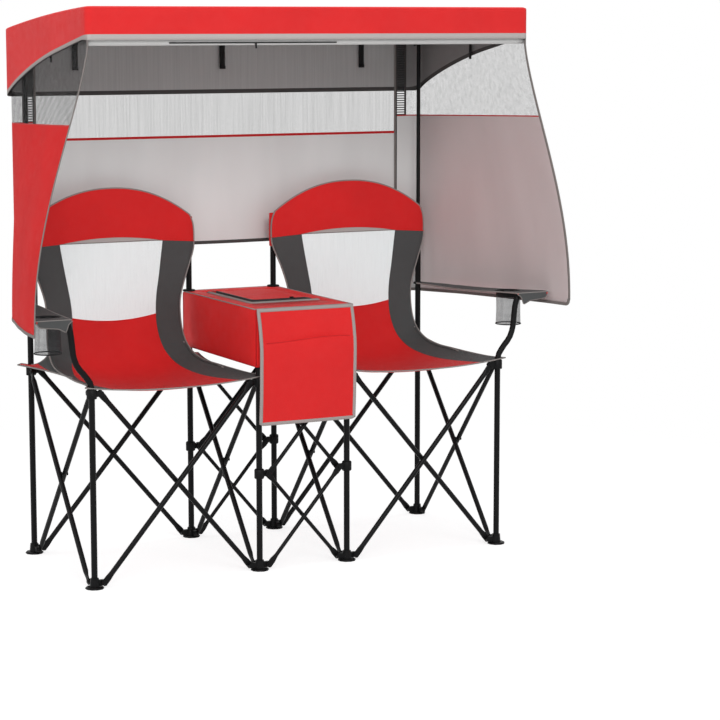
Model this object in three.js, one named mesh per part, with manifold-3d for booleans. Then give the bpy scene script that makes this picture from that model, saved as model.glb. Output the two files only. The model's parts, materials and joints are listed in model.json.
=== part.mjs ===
// A folding camping loveseat: two quad-fold seats on eight legs, joined by a narrow centre bay that
// carries an insulated drinks box, with a sun canopy and curtains on two poles behind the seats.
// Millimetres, +Z up, origin on the ground under the middle of the whole, -Y is the front.

import * as THREE from 'three';
import { mergeVertices } from 'three/addons/utils/BufferGeometryUtils.js';
import Module from 'manifold-3d';

const wasm = await Module();
wasm.setup();

// Frame: leg rows and the scissor rods between them
const bayPitch = 460;          // leg axis to leg axis, across one seat and from front to rear
const pivotOffset = 25;        // rivet of a rod end, from the axis of its leg
const rodLength = 635;         // rivet to rivet of a long rod
const footPivotHeight = 14;    // rivet of a rod's foot end above the ground
const centrePitch = bayPitch / 2 + pivotOffset;   // legs of the centre bay, on rods of half length
const rodRun = bayPitch - 2 * pivotOffset;
const rodRise = Math.sqrt(rodLength ** 2 - rodRun ** 2);
const hubPivotHeight = footPivotHeight + rodRise;
const sliderHeight = footPivotHeight + rodRise / 2;
const outerX = centrePitch / 2 + bayPitch;
const innerX = centrePitch / 2;
const roofFrontReach = 89;     // roof in front of the front legs
const roofRearReach = 63;      // and behind the rear legs
const frameShift = (roofFrontReach - roofRearReach) / 2;
const frontY = frameShift - bayPitch / 2;
const rearY = frameShift + bayPitch / 2;

// Clearances
const seatGap = 0.3;           // between faces that rest on each other
const cutOverrun = 2;
const postClearance = 3;       // cloth around an arm post, which starts to bend there
const weldTolerance = 1e-4;

// Tubes
const legRadius = 8;
const innerTubeRadius = 5.5;   // canopy poles and the guides of the front hubs run in the legs
const legBore = innerTubeRadius + seatGap;
const longRodRadius = 6.75;
const shortRodRadius = 5.25;
const poleInsert = 150;
const frontBoreDepth = 210;
const guideLength = 190;

// Rod ends, rivets and lugs
const rodPlane = 7.25;         // each rod of a pair lies this far from the plane of the legs
const flatHalf = 2.25;         // half thickness of a flattened rod end
const flatHeight = 8.5;        // half height of a flattened rod end
const flatLength = 14;
const flatTaper = 16;
const rivetRadius = 2.5;
const rivetPlay = 0.6;
const rivetHole = rivetRadius + rivetPlay;
const rivetHeadRadius = 5;
const rivetHeadHeight = 1.5;
const lugHalf = rodPlane - flatHalf - seatGap;
const lugReach = 8;            // plastic beyond the rivet
const lugHeight = 7.5;          // half height of a lug

// Plastic feet, hubs and sliders
const footRadius = 24;
const footRim = 3;
const footDisc = 5;
const socketRadius = 13;
const footHeight = 27;
const hubBelow = 12;
const hubAbove = 13;
const sliderHalf = 13;
const edgeRound = 2;
const hubTop = hubPivotHeight + hubAbove;
const rearTubeRise = 358;      // rear legs above their hubs
const rearTubeTop = hubTop + rearTubeRise;

// Arm posts
const armRise = 178;           // armrests above the hubs
const armTop = hubTop + armRise;
const armPostRadius = 8;
const armPostDrop = 3;         // middle of the slanted post end under the armrest

// Slings
const clothThickness = 3;
const slingHalf = bayPitch / 2;
const slingRise = 470;         // top of the backrest above the hubs
const pocketCloth = 2.5;       // cloth around a pole
const pocketRadius = legRadius + seatGap + pocketCloth;
const pocketAbove = 30;        // pockets of the backrest, above and below the tops of the tubes
const pocketBelow = 70;
const pocketTop = rearTubeTop + pocketAbove;
const pocketBottom = rearTubeTop - pocketBelow;

// Armrests with their cup nets
const armrestThickness = 3;
const cupRadius = 36;
const cupWall = 1.5;
const cupDepth = 96;
const cupForward = 374;        // cup centre in front of the rear pole
const cupOutward = 83;         // cup centre outside the legs
const armrestTip = 146;
const armrestHem = 17;

// Drinks box
const coolerOverhang = 10.5;   // walls outside the axes of the centre legs
const coolerFrontReach = 12;   // in front of the front legs
const coolerRearReach = 15;    // behind the rear legs
const coolerOverHubs = 25;
const coolerFront = frontY - coolerFrontReach;
const coolerRear = rearY + coolerRearReach;
const coolerBottom = hubTop + coolerOverHubs;
const coolerTop = armTop;
const coolerWall = 5;
const coolerPanel = 4;
const coolerPillar = 24;       // corner pillars that sleeve the posts, from the outer faces
const lidHalf = 92;
const lidFrontMargin = 127;
const lidRearMargin = 75;
const lidFront = coolerFront + lidFrontMargin;
const lidHinge = coolerRear - lidRearMargin;
const lidGap = 1;
const collarRadius = 14;
const collarHeight = 5;
const flapLean = 3;            // the flap's foot hangs forward of its seam, clear of the hubs
const flapDrop = 302;
const flapBulge = 5;

// Canopy
const roofSideReach = 26.5;    // roof outside the outer legs
const roofRise = 590;          // front edge of the roof above the tops of the rear legs
const roofFall = 55;           // from the front edge to the rear edge
const roofHalf = outerX + roofSideReach;
const roofFront = frontY - roofFrontReach;
const roofRear = rearY + roofRearReach;
const roofFrontTop = rearTubeTop + roofRise;
const roofRearTop = roofFrontTop - roofFall;
const roofCrown = 6;
const skirtFront = 75;
const skirtRear = 175;
const roofCloth = 3;
const armTubeRadius = 5;
const armFrontRise = 20;       // arm axis under the roof cloth at the front edge
const armRearRise = 13;        // and at the rear edge
const armEndGap = 8;
const liningFrontDrop = 71;    // lining under the roof at the front edge
const liningRearDrop = 27;     // and at the rear edge
const liningFront = roofFrontTop - liningFrontDrop;
const liningRear = roofRearTop - liningRearDrop;
const liningCloth = 1.6;
const liningSag = 3;

// Curtains
const curtainCloth = 2;
const curtainDrop = 31;        // top edge of the curtains under the rear edge of the roof
const backCurtainInset = 42.5; // side edge of the back curtain, inside the outer legs
const backCurtainLength = 561;
const sideRearLength = 746;
const sideFrontLength = 706;
const curtainTop = roofRearTop - curtainDrop;
const backCurtainHalf = outerX - backCurtainInset;
const backCurtainBottom = curtainTop - backCurtainLength;
const sideFlare = 156;
const sideFlarePower = 1.3;
const curtainCornerRadius = 30;
const curtainHem = 8;          // a curtain starts to flare and fold this far below the skirt
const foldDepth = 9;

// Facets
const tubeSides = 10;
const rodSides = 8;
const rivetSides = 6;
const cupSides = 18;
const lugArcSteps = 2;
const roofSteps = 10;
const backFolds = 3;
const backColumns = 12;
const backRows = 5;
const sideFolds = 2;
const flapColumns = 4;
const flapRows = 6;
const liningColumns = 6;
const liningRows = 2;

// Colours
const finishes = {
  steel: new THREE.MeshStandardMaterial({ color: 0x16171a, roughness: 0.45, metalness: 0.35 }),
  plastic: new THREE.MeshStandardMaterial({ color: 0x141416, roughness: 0.6, metalness: 0 }),
  red: new THREE.MeshStandardMaterial({ color: 0xc9262b, roughness: 0.85, metalness: 0 }),
  charcoal: new THREE.MeshStandardMaterial({ color: 0x4b4a4a, roughness: 0.9, metalness: 0 }),
  silver: new THREE.MeshStandardMaterial({ color: 0xb9b7b6, roughness: 0.7, metalness: 0 }),
};

const group = new THREE.Group();

function addPart(name, geometry, finish) {
  const mesh = new THREE.Mesh(geometry, finishes[finish]);
  mesh.name = name;
  group.add(mesh);
  return mesh;
}

// Geometry helpers

// Only positions, shared between faces, with no triangle that has collapsed
function weld(geometry) {
  const bare = geometry.clone();
  for (const name of Object.keys(bare.attributes)) {
    if (name !== 'position') bare.deleteAttribute(name);
  }
  const merged = mergeVertices(bare, weldTolerance);
  const index = merged.index.array;
  const kept = [];
  for (let i = 0; i < index.length; i += 3) {
    const [a, b, c] = [index[i], index[i + 1], index[i + 2]];
    if (a !== b && b !== c && c !== a) kept.push(a, b, c);
  }
  merged.setIndex(kept);
  return merged;
}

function toSolid(geometry) {
  const welded = weld(geometry);
  return new wasm.Manifold(new wasm.Mesh({
    numProp: 3,
    vertProperties: new Float32Array(welded.attributes.position.array),
    triVerts: new Uint32Array(welded.index.array),
  }));
}

function toGeometry(solid) {
  const mesh = solid.getMesh();
  const geometry = new THREE.BufferGeometry();
  geometry.setAttribute('position', new THREE.BufferAttribute(mesh.vertProperties, 3));
  geometry.setIndex(new THREE.BufferAttribute(mesh.triVerts, 1));
  return geometry;
}

function join(...solids) {
  return solids.reduce((whole, piece) => whole.add(piece));
}

function cut(solid, ...tools) {
  return tools.reduce((rest, tool) => rest.subtract(tool), solid);
}

// Upright cylinder at (x, y) from z0 to z1
function upright(radius, x, y, z0, z1, sides = tubeSides) {
  const geometry = new THREE.CylinderGeometry(radius, radius, z1 - z0, sides);
  geometry.rotateX(Math.PI / 2);
  geometry.translate(x, y, (z0 + z1) / 2);
  return toSolid(geometry);
}

// Cylinder along the unit vector axis, from start to end measured along it, through a point
function bar(radius, point, axis, start, end, sides = rivetSides) {
  const geometry = new THREE.CylinderGeometry(radius, radius, end - start, sides);
  const turn = new THREE.Quaternion().setFromUnitVectors(new THREE.Vector3(0, 1, 0), axis);
  geometry.applyQuaternion(turn);
  const middle = axis.clone().multiplyScalar((start + end) / 2).add(point);
  geometry.translate(middle.x, middle.y, middle.z);
  return toSolid(geometry);
}

function box(x0, x1, y0, y1, z0, z1) {
  const geometry = new THREE.BoxGeometry(x1 - x0, y1 - y0, z1 - z0);
  geometry.translate((x0 + x1) / 2, (y0 + y1) / 2, (z0 + z1) / 2);
  return toSolid(geometry);
}

// Turned body about the upright axis at (x, y); the profile is a list of [radius, height]
function turned(profile, x, y, sides = tubeSides) {
  const points = profile.map(([radius, height]) => new THREE.Vector2(radius, height));
  const geometry = new THREE.LatheGeometry(points, sides);
  geometry.rotateX(Math.PI / 2);
  geometry.translate(x, y, 0);
  return toSolid(geometry);
}

// Tube along a smooth curve through the points
function bentTube(points, radius, steps, sides = tubeSides) {
  const section = new THREE.Shape();
  section.absarc(0, 0, radius, 0, 2 * Math.PI);
  const path = new THREE.CatmullRomCurve3(points);
  const geometry = new THREE.ExtrudeGeometry(section, {
    steps, extrudePath: path, curveSegments: sides / 2, bevelEnabled: false,
  });
  return toSolid(geometry);
}

// Plan outline raised from z0 to z1
function raised(outline, z0, z1) {
  const shape = new THREE.Shape(outline.map(([x, y]) => new THREE.Vector2(x, y)));
  const geometry = new THREE.ExtrudeGeometry(shape, { depth: z1 - z0, bevelEnabled: false });
  geometry.translate(0, 0, z0);
  return toSolid(geometry);
}

// Cloth: a closed sheet of even thickness on the surface place(u, v), u and v from 0 to 1
function sheet(place, columns, rows, thickness) {
  const nearShare = 1e-3;
  const sample = (u, v) => place(Math.min(1, Math.max(0, u)), Math.min(1, Math.max(0, v)));
  const positions = [];
  for (const side of [1, -1]) {
    for (let j = 0; j <= rows; j += 1) {
      for (let i = 0; i <= columns; i += 1) {
        const [u, v] = [i / columns, j / rows];
        const along = sample(u + nearShare, v).sub(sample(u - nearShare, v));
        const up = sample(u, v + nearShare).sub(sample(u, v - nearShare));
        const normal = along.cross(up).normalize();
        const point = sample(u, v).addScaledVector(normal, side * thickness / 2);
        positions.push(point.x, point.y, point.z);
      }
    }
  }
  const index = [];
  const layer = (columns + 1) * (rows + 1);
  const at = (i, j) => j * (columns + 1) + i;
  const quad = (a, b, c, d) => index.push(a, b, c, a, c, d);
  for (let j = 0; j < rows; j += 1) {
    for (let i = 0; i < columns; i += 1) {
      const corners = [at(i, j), at(i + 1, j), at(i + 1, j + 1), at(i, j + 1)];
      quad(...corners);
      quad(...corners.map((corner) => corner + layer).reverse());
    }
  }
  const rim = [];
  for (let i = 0; i < columns; i += 1) rim.push(at(i, 0));
  for (let j = 0; j < rows; j += 1) rim.push(at(columns, j));
  for (let i = columns; i > 0; i -= 1) rim.push(at(i, rows));
  for (let j = rows; j > 0; j -= 1) rim.push(at(0, j));
  rim.forEach((a, k) => {
    const b = rim[(k + 1) % rim.length];
    quad(a, a + layer, b + layer, b);
  });
  const geometry = new THREE.BufferGeometry();
  geometry.setAttribute('position', new THREE.Float32BufferAttribute(positions, 3));
  geometry.setIndex(index);
  return toSolid(geometry);
}

// Value at t between the rows of a table, smoothly
function along(table, t) {
  const place = t * (table.length - 1);
  const k = Math.min(table.length - 2, Math.floor(place));
  const at = (i) => table[Math.min(table.length - 1, Math.max(0, i))];
  const [p0, p1, p2, p3] = [at(k - 1), at(k), at(k + 1), at(k + 2)];
  const f = place - k;
  return p1.map((_, i) => 0.5 * (2 * p1[i] + (p2[i] - p0[i]) * f
    + (2 * p0[i] - 5 * p1[i] + 4 * p2[i] - p3[i]) * f * f
    + (3 * p1[i] - p0[i] - 3 * p2[i] + p3[i]) * f * f * f));
}

// Rods: steel tube with flattened, riveted ends. A rod lies in the plane of its two legs, on one
// side of it. The first rod of a pair carries the rivet where the two cross.

const xAxis = new THREE.Vector3(1, 0, 0);
const yAxis = new THREE.Vector3(0, 1, 0);
const zAxis = new THREE.Vector3(0, 0, 1);

// Sections of half a rod from its end to where it is round: [place, half height, half thickness,
// squareness]
function rodSections(length, radius) {
  const end = [
    [-lugReach, flatHeight / 2, flatHalf, 3],
    [-lugReach / 2, flatHeight, flatHalf, 4],
    [flatLength, flatHeight, flatHalf, 4],
    [flatLength + flatTaper, radius, radius, 2],
  ];
  const mirrored = end.map(([place, ...size]) => [length - place, ...size]).reverse();
  return [...end, ...mirrored];
}

function rodBlank(length, radius) {
  const positions = [];
  const index = [];
  const sections = rodSections(length, radius);
  sections.forEach(([place, height, thickness, squareness]) => {
    for (let i = 0; i < rodSides; i += 1) {
      const angle = 2 * Math.PI * (i + 0.5) / rodSides;
      const [c, s] = [Math.cos(angle), Math.sin(angle)];
      const y = thickness * Math.sign(c) * Math.abs(c) ** (2 / squareness);
      const z = height * Math.sign(s) * Math.abs(s) ** (2 / squareness);
      positions.push(place, y, z);
    }
  });
  for (let k = 0; k < sections.length - 1; k += 1) {
    for (let i = 0; i < rodSides; i += 1) {
      const a = k * rodSides + i;
      const b = k * rodSides + (i + 1) % rodSides;
      index.push(a, b + rodSides, a + rodSides, a, b, b + rodSides);
    }
  }
  const last = (sections.length - 1) * rodSides;
  for (let i = 1; i < rodSides - 1; i += 1) {
    index.push(0, i + 1, i);
    index.push(last, last + i, last + i + 1);
  }
  const geometry = new THREE.BufferGeometry();
  geometry.setAttribute('position', new THREE.Float32BufferAttribute(positions, 3));
  geometry.setIndex(index);
  return toSolid(geometry);
}

function rodSolid(length, radius, carriesRivet) {
  const blank = rodBlank(length, radius);
  const origin = new THREE.Vector3();
  const far = new THREE.Vector3(length, 0, 0);
  const middle = new THREE.Vector3(length / 2, 0, 0);
  const reach = radius + cutOverrun;
  const endHoles = [origin, far].map((point) => bar(rivetHole, point, yAxis, -reach, reach));
  const drilled = cut(blank, ...endHoles);
  if (!carriesRivet) return cut(drilled, bar(rivetHole, middle, yAxis, -reach, reach));
  const headStart = 2 * rodPlane + radius + seatGap;
  return join(
    drilled,
    bar(rivetRadius, middle, yAxis, 0, headStart + rivetHeadHeight),
    bar(rivetHeadRadius, middle, yAxis, headStart, headStart + rivetHeadHeight),
    bar(rivetRadius + longRodRadius / 2, middle, yAxis, 0, 2 * rodPlane - radius - seatGap),
  );
}

// Places one rod from the rivet at start towards the rivet at end. The leg plane's normal is +Y for
// rods that run along X and +X for rods that run along Y; side is -1 or 1 along that normal.
function addRod(name, start, end, normal, side, radius, carriesRivet) {
  const direction = end.clone().sub(start);
  const length = direction.length();
  direction.normalize();
  const toward = normal.clone().multiplyScalar(carriesRivet ? -side : side);
  const third = direction.clone().cross(toward);
  const turn = new THREE.Matrix4().makeBasis(direction, toward, third);
  const geometry = toGeometry(rodSolid(length, radius, carriesRivet));
  const mesh = addPart(name, geometry, 'steel');
  mesh.quaternion.setFromRotationMatrix(turn);
  mesh.position.copy(start).addScaledVector(normal, side * rodPlane);
}

// Lug of a foot, hub or slider with the rivet of its rods. direction points from the leg to the
// rivet, sides lists the sides of the plane on which a rod end is riveted.
function lug(x, y, z, direction, normal, sides) {
  const point = new THREE.Vector3(x, y, z).addScaledVector(direction, pivotOffset);
  const half = new THREE.Shape();
  half.moveTo(-pivotOffset + socketRadius / 2, -lugHeight);
  half.lineTo(0, -lugHeight);
  half.absarc(0, 0, lugHeight, -Math.PI / 2, Math.PI / 2);
  half.lineTo(-pivotOffset + socketRadius / 2, lugHeight);
  half.closePath();
  const plate = new THREE.ExtrudeGeometry(half, {
    depth: 2 * lugHalf, bevelEnabled: false, curveSegments: lugArcSteps,
  });
  plate.translate(0, 0, -lugHalf);
  const third = direction.clone().cross(zAxis);
  plate.applyMatrix4(new THREE.Matrix4().makeBasis(direction, zAxis, third));
  plate.translate(point.x, point.y, point.z);
  const pieces = [toSolid(plate)];
  for (const side of sides) {
    const away = normal.clone().multiplyScalar(side);
    const head = rodPlane + flatHalf + seatGap;
    pieces.push(bar(rivetRadius, point, away, 0, head + rivetHeadHeight));
    pieces.push(bar(rivetHeadRadius, point, away, head, head + rivetHeadHeight));
  }
  return join(...pieces);
}

// Legs stand in four columns and two rows
const columns = [
  { name: 'left_outer', x: -outerX },
  { name: 'left_inner', x: -innerX },
  { name: 'right_inner', x: innerX },
  { name: 'right_outer', x: outerX },
];
const rows = [{ name: 'front', y: frontY }, { name: 'rear', y: rearY }];

// For the rods of a pair, the first runs from the foot of leg p to the hub of leg q on side -1 and
// the second from the foot of q to the hub of p on side 1. These are the sides of the rods at a
// corner of the frame, by whether the corner is p or q.
const footSide = { p: -1, q: 1 };
const hubSide = { p: 1, q: -1 };

function cornerLugs(columnIndex, rowIndex) {
  const list = [];
  if (columnIndex > 0) list.push({ direction: xAxis.clone().negate(), normal: yAxis, end: 'q' });
  if (columnIndex < columns.length - 1) list.push({ direction: xAxis, normal: yAxis, end: 'p' });
  if (rowIndex === 0) list.push({ direction: yAxis, normal: xAxis, end: 'p' });
  else list.push({ direction: yAxis.clone().negate(), normal: xAxis, end: 'q' });
  return list;
}

// The two outer bays have long rods; the centre bay has two short pairs, one above the other
const bays = [
  { name: 'left', from: 0, short: false },
  { name: 'centre', from: 1, short: true },
  { name: 'right', from: 2, short: false },
];

function addLeg(column, row, columnIndex, rowIndex) {
  const isFront = rowIndex === 0;
  const top = isFront ? hubPivotHeight - hubBelow - seatGap : rearTubeTop;
  const floorOfBore = isFront ? top - frontBoreDepth : rearTubeTop - poleInsert - seatGap;
  const profile = [
    [0, 0], [footRadius, 0], [footRadius, footRim], [footRadius - edgeRound, footDisc],
    [socketRadius, footDisc], [socketRadius - edgeRound, footHeight],
    [legRadius, footHeight], [legRadius, top],
    [legBore, top], [legBore, floorOfBore], [0, floorOfBore],
  ];
  const body = turned(profile, column.x, row.y);
  const lugs = cornerLugs(columnIndex, rowIndex).map(({ direction, normal, end }) => (
    lug(column.x, row.y, footPivotHeight, direction, normal, [footSide[end]])));
  addPart(`leg_${row.name}_${column.name}`, toGeometry(join(body, ...lugs)), 'steel');
}

// Gooseneck of an outer arm post: [share of the outward reach, share of the height above the hub]
const gooseneckShares = [
  [0, 0], [0.03, 0.06], [0.28, 0.2], [0.58, 0.33], [0.74, 0.48], [0.8, 0.66], [0.86, 0.84], [1, 1],
];
const armReach = 63;
const armPostSteps = 14;

function armPost(x, y, outward) {
  const height = armTop - hubTop - armPostDrop;
  const points = gooseneckShares.map(([reach, rise]) => (
    new THREE.Vector3(x + outward * reach * armReach, y, hubTop + rise * height)));
  points[0].z -= hubAbove;
  return bentTube(points, armPostRadius, armPostSteps, tubeSides);
}

function addHub(column, row, columnIndex, rowIndex) {
  const bottom = hubPivotHeight - hubBelow;
  const bore = legRadius + seatGap;
  const isFront = rowIndex === 0;
  const outside = [
    [socketRadius, bottom], [socketRadius, hubTop - edgeRound], [socketRadius - edgeRound, hubTop],
  ];
  const lugs = cornerLugs(columnIndex, rowIndex).map(({ direction, normal, end }) => (
    lug(column.x, row.y, hubPivotHeight, direction, normal, [hubSide[end]])));
  const name = `hub_${row.name}_${column.name}`;
  if (isFront) {
    const cap = turned([[0, bottom], ...outside, [0, hubTop]], column.x, row.y);
    const guide = upright(innerTubeRadius, column.x, row.y, bottom - guideLength, hubPivotHeight);
    const isOuter = columnIndex === 0 || columnIndex === columns.length - 1;
    const post = isOuter
      ? armPost(column.x, row.y, Math.sign(column.x))
      : upright(armPostRadius, column.x, row.y, hubPivotHeight, coolerTop - coolerPanel - seatGap);
    addPart(name, toGeometry(join(cap, guide, post, ...lugs)), 'plastic');
  } else {
    const ring = turned([[bore, bottom], ...outside, [bore, hubTop], [bore, bottom]], column.x, row.y);
    const clear = upright(bore, column.x, row.y, bottom - cutOverrun, hubTop + cutOverrun);
    addPart(name, toGeometry(cut(join(ring, ...lugs), clear)), 'plastic');
  }
}

function addSlider(column, row, columnIndex) {
  const bore = legRadius + seatGap;
  const [bottom, top] = [sliderHeight - sliderHalf, sliderHeight + sliderHalf];
  const profile = [
    [bore, bottom], [socketRadius - edgeRound, bottom], [socketRadius, bottom + edgeRound],
    [socketRadius, top - edgeRound], [socketRadius - edgeRound, top], [bore, top], [bore, bottom],
  ];
  const inward = xAxis.clone().multiplyScalar(columnIndex === 1 ? 1 : -1);
  const arm = lug(column.x, row.y, sliderHeight, inward, yAxis, [-1, 1]);
  const clear = upright(bore, column.x, row.y, bottom - cutOverrun, top + cutOverrun);
  const body = cut(join(turned(profile, column.x, row.y), arm), clear);
  addPart(`slider_${row.name}_${column.name}`, toGeometry(body), 'plastic');
}

rows.forEach((row, rowIndex) => {
  columns.forEach((column, columnIndex) => {
    addLeg(column, row, columnIndex, rowIndex);
    addHub(column, row, columnIndex, rowIndex);
    if (columnIndex === 1 || columnIndex === 2) addSlider(column, row, columnIndex);
  });
});

// Rods. A pair joins leg p to leg q: rod a from the foot of p to the hub of q, rod b from the foot
// of q to the hub of p.
function addPair(name, p, q, low, high, normal, radius) {
  const direction = q.clone().sub(p).normalize();
  const nearP = p.clone().addScaledVector(direction, pivotOffset);
  const nearQ = q.clone().addScaledVector(direction, -pivotOffset);
  const at = (point, height) => new THREE.Vector3(point.x, point.y, height);
  addRod(`${name}_a`, at(nearP, low), at(nearQ, high), normal, -1, radius, true);
  addRod(`${name}_b`, at(nearQ, low), at(nearP, high), normal, 1, radius, false);
}

for (const row of rows) {
  for (const bay of bays) {
    const p = new THREE.Vector3(columns[bay.from].x, row.y, 0);
    const q = new THREE.Vector3(columns[bay.from + 1].x, row.y, 0);
    const name = `rod_${row.name}_${bay.name}`;
    if (bay.short) {
      addPair(`${name}_low`, p, q, footPivotHeight, sliderHeight, yAxis, shortRodRadius);
      addPair(`${name}_high`, p, q, sliderHeight, hubPivotHeight, yAxis, shortRodRadius);
    } else {
      addPair(name, p, q, footPivotHeight, hubPivotHeight, yAxis, longRodRadius);
    }
  }
}
for (const column of columns) {
  const p = new THREE.Vector3(column.x, frontY, 0);
  const q = new THREE.Vector3(column.x, rearY, 0);
  addPair(`rod_side_${column.name}`, p, q, footPivotHeight, hubPivotHeight, xAxis, longRodRadius);
}

// Slings: seat and backrest of each side are one sewn cloth. Each row of the table is, from the
// front edge of the seat to the top of the backrest: the side edge's half width, depth and height,
// then the middle's depth and height. Widths and depths are shares of half the bay, heights are
// shares of the rise from the hubs to the top of the backrest.
const slingRowShares = [
  [1.09, -1.035, 0.01, -1.026, -0.02],
  [1.0, -0.83, 0.011, -0.78, -0.073],
  [0.985, -0.43, 0.009, -0.39, -0.098],
  [0.955, 0, 0.011, 0, -0.104],
  [0.92, 0.39, 0.017, 0.35, -0.09],
  [0.887, 0.65, 0.053, 0.61, -0.043],
  [0.861, 0.817, 0.123, 0.774, 0.049],
  [0.843, 0.883, 0.23, 0.861, 0.177],
  [0.843, 0.896, 0.357, 0.905, 0.326],
  [0.891, 0.904, 0.496, 0.93, 0.485],
  [0.965, 0.935, 0.613, 0.94, 0.613],
  [1.035, 0.947, 0.677, 0.945, 0.72],
  [1.043, 0.95, 0.77, 0.945, 0.86],
  [1.0, 0.95, 0.83, 0.94, 1.0],
];
const slingEdgePower = 2.2;
const slingColumns = 10;
const slingRows = 15;
// Rear corner tabs that reach back to the rear hubs, shares of half the bay in plan
const tabOutlineShares = [
  [0.93, 0.17], [1.139, 1.07], [1.065, 1.139], [0.3, 0.69], [0.65, 0.58], [0.91, 0.37],
];

function slingPlace(centre, u, v) {
  const [half, edgeY, edgeZ, middleY, middleZ] = along(slingRowShares, v);
  const across = 2 * u - 1;
  const blend = Math.abs(across) ** slingEdgePower;
  return new THREE.Vector3(
    centre + across * half * slingHalf,
    frameShift + (middleY + (edgeY - middleY) * blend) * slingHalf,
    hubTop + (middleZ + (edgeZ - middleZ) * blend) * slingRise,
  );
}

function addSling(side, centre) {
  const cloth = sheet((u, v) => slingPlace(centre, u, v), slingColumns, slingRows, clothThickness);
  const pieces = [cloth];
  const poles = [];
  for (const hand of [-1, 1]) {
    const x = centre + hand * slingHalf;
    const tab = tabOutlineShares.map(([across, back]) => (
      [centre + hand * across * slingHalf, frameShift + back * slingHalf]));
    if (hand < 0) tab.reverse();
    pieces.push(raised(tab, hubTop + seatGap, hubTop + seatGap + clothThickness));
    pieces.push(upright(pocketRadius, x, rearY, pocketBottom, pocketTop));
    const clearance = legRadius + seatGap;
    poles.push(upright(clearance, x, rearY, 0, pocketTop + cutOverrun));
    poles.push(upright(armPostRadius + postClearance, x, frontY, 0, hubTop + socketRadius));
    poles.push(...rows.map(({ y }) => (
      upright(socketRadius + seatGap, x, y, hubTop - 2 * socketRadius, hubTop + seatGap))));
  }
  addPart(`sling_${side}`, toGeometry(cut(join(...pieces), ...poles)), 'red');
}

addSling('left', -(outerX + innerX) / 2);
addSling('right', (outerX + innerX) / 2);

// Armrests: cloth from the rear pole to the arm post, with a net cup in it. The table gives the
// places of the side edges as shares of the reach from the legs out to the tip, then of the length
// from the front hem back to the rear pole.
const armrestInnerShares = [[0.21, 0], [0.14, 0.09], [0.14, 0.39], [-0.074, 1]];
const armrestOuterShares = [[0.074, 1.022], [0.74, 0.27], [1, 0.035], [0.884, 0]];

function addArmrest(side, hand) {
  const poleX = hand * outerX;
  const cupX = hand * (outerX + cupOutward);
  const cupY = rearY - cupForward;
  const front = frontY - armPostRadius - 2 * armrestThickness;
  const top = armTop + armrestThickness;
  const place = ([reach, back]) => [poleX + hand * reach * armrestTip, front + back * (rearY - front)];
  const plan = [...armrestInnerShares, ...armrestOuterShares].map(place);
  if (hand > 0) plan.reverse();
  const cloth = raised(plan, armTop, top);
  const ends = [plan.at(0)[0], plan.at(-1)[0]].sort((p, q) => p - q);
  const hem = box(...ends, front, front + armrestThickness, armTop - armrestHem, top);
  const net = [cupX, cupY, top - cupDepth];
  const cup = upright(cupRadius, net[0], net[1], net[2], top, cupSides);
  const hollow = upright(cupRadius - cupWall, net[0], net[1], net[2] + cupWall, top + cutOverrun, cupSides);
  const loop = upright(pocketRadius, poleX, rearY, armTop - armrestHem, top);
  const pole = upright(legRadius + seatGap, poleX, rearY, 0, top + cutOverrun);
  const body = cut(join(cloth, hem, cup, loop), hollow, pole);
  addPart(`armrest_${side}`, toGeometry(body), 'charcoal');
}

addArmrest('left', -1);
addArmrest('right', 1);

// Drinks box between the seats: open inside, with corner pillars around the posts
function chamfered(x, y0, y1, corner) {
  return [
    [-x + corner, y0], [x - corner, y0], [x, y0 + corner], [x, y1 - corner],
    [x - corner, y1], [-x + corner, y1], [-x, y1 - corner], [-x, y0 + corner],
  ];
}

function addCooler() {
  const half = innerX + coolerOverhang;
  const shell = box(-half, half, coolerFront, coolerRear, coolerBottom, coolerTop);
  const insideHalf = half - coolerWall;
  const cavity = raised(
    chamfered(insideHalf, coolerFront + coolerWall, coolerRear - coolerWall, coolerPillar),
    coolerBottom + coolerWall, coolerTop - coolerPanel,
  );
  const mouth = box(-lidHalf - lidGap, lidHalf + lidGap, lidFront - lidGap, lidHinge + seatGap,
    coolerTop - 2 * coolerPanel, coolerTop + cutOverrun);
  const holes = [];
  const collars = [];
  for (const x of [-innerX, innerX]) {
    const postTop = coolerTop - coolerPanel;
    holes.push(upright(armPostRadius + seatGap, x, frontY, 0, postTop));
    holes.push(upright(legRadius + seatGap, x, rearY, 0, coolerTop + collarHeight + cutOverrun));
    collars.push(upright(collarRadius, x, rearY, coolerTop, coolerTop + collarHeight));
  }
  const pillars = [-1, 1].flatMap((hand) => [frontY, rearY].map((y) => (
    upright(legRadius + coolerWall, hand * innerX, y, coolerBottom, coolerTop))));
  const outside = box(-half, half, coolerFront, coolerRear, 0, coolerTop + collarHeight);
  const walls = join(cut(shell, cavity), ...pillars).intersect(outside);
  const body = cut(join(walls, ...collars), mouth, ...holes);
  addPart('cooler_body', toGeometry(body), 'red');
  const lid = box(-lidHalf, lidHalf, lidFront, lidHinge, coolerTop - coolerPanel, coolerTop);
  addPart('cooler_lid', toGeometry(lid), 'red');
  const flapSeamY = coolerFront - seatGap - clothThickness / 2;
  const flap = sheet((u, v) => new THREE.Vector3(
    (2 * u - 1) * half,
    flapSeamY - flapLean * v - flapBulge * Math.sin(Math.PI * v) * v,
    coolerTop - v * flapDrop,
  ), flapColumns, flapRows, clothThickness);
  addPart('pocket_flap', toGeometry(flap), 'red');
}

addCooler();

// Canopy: two poles in the rear legs, an arm pivoted on each pole, and the cloth on the arms
function roofTop(y) {
  const t = (y - roofFront) / (roofRear - roofFront);
  return roofFrontTop + (roofRearTop - roofFrontTop) * t + 4 * roofCrown * t * (1 - t);
}

const armFront = roofFront + roofCloth + armEndGap;
const armRear = roofRear - roofCloth - armEndGap;

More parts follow.
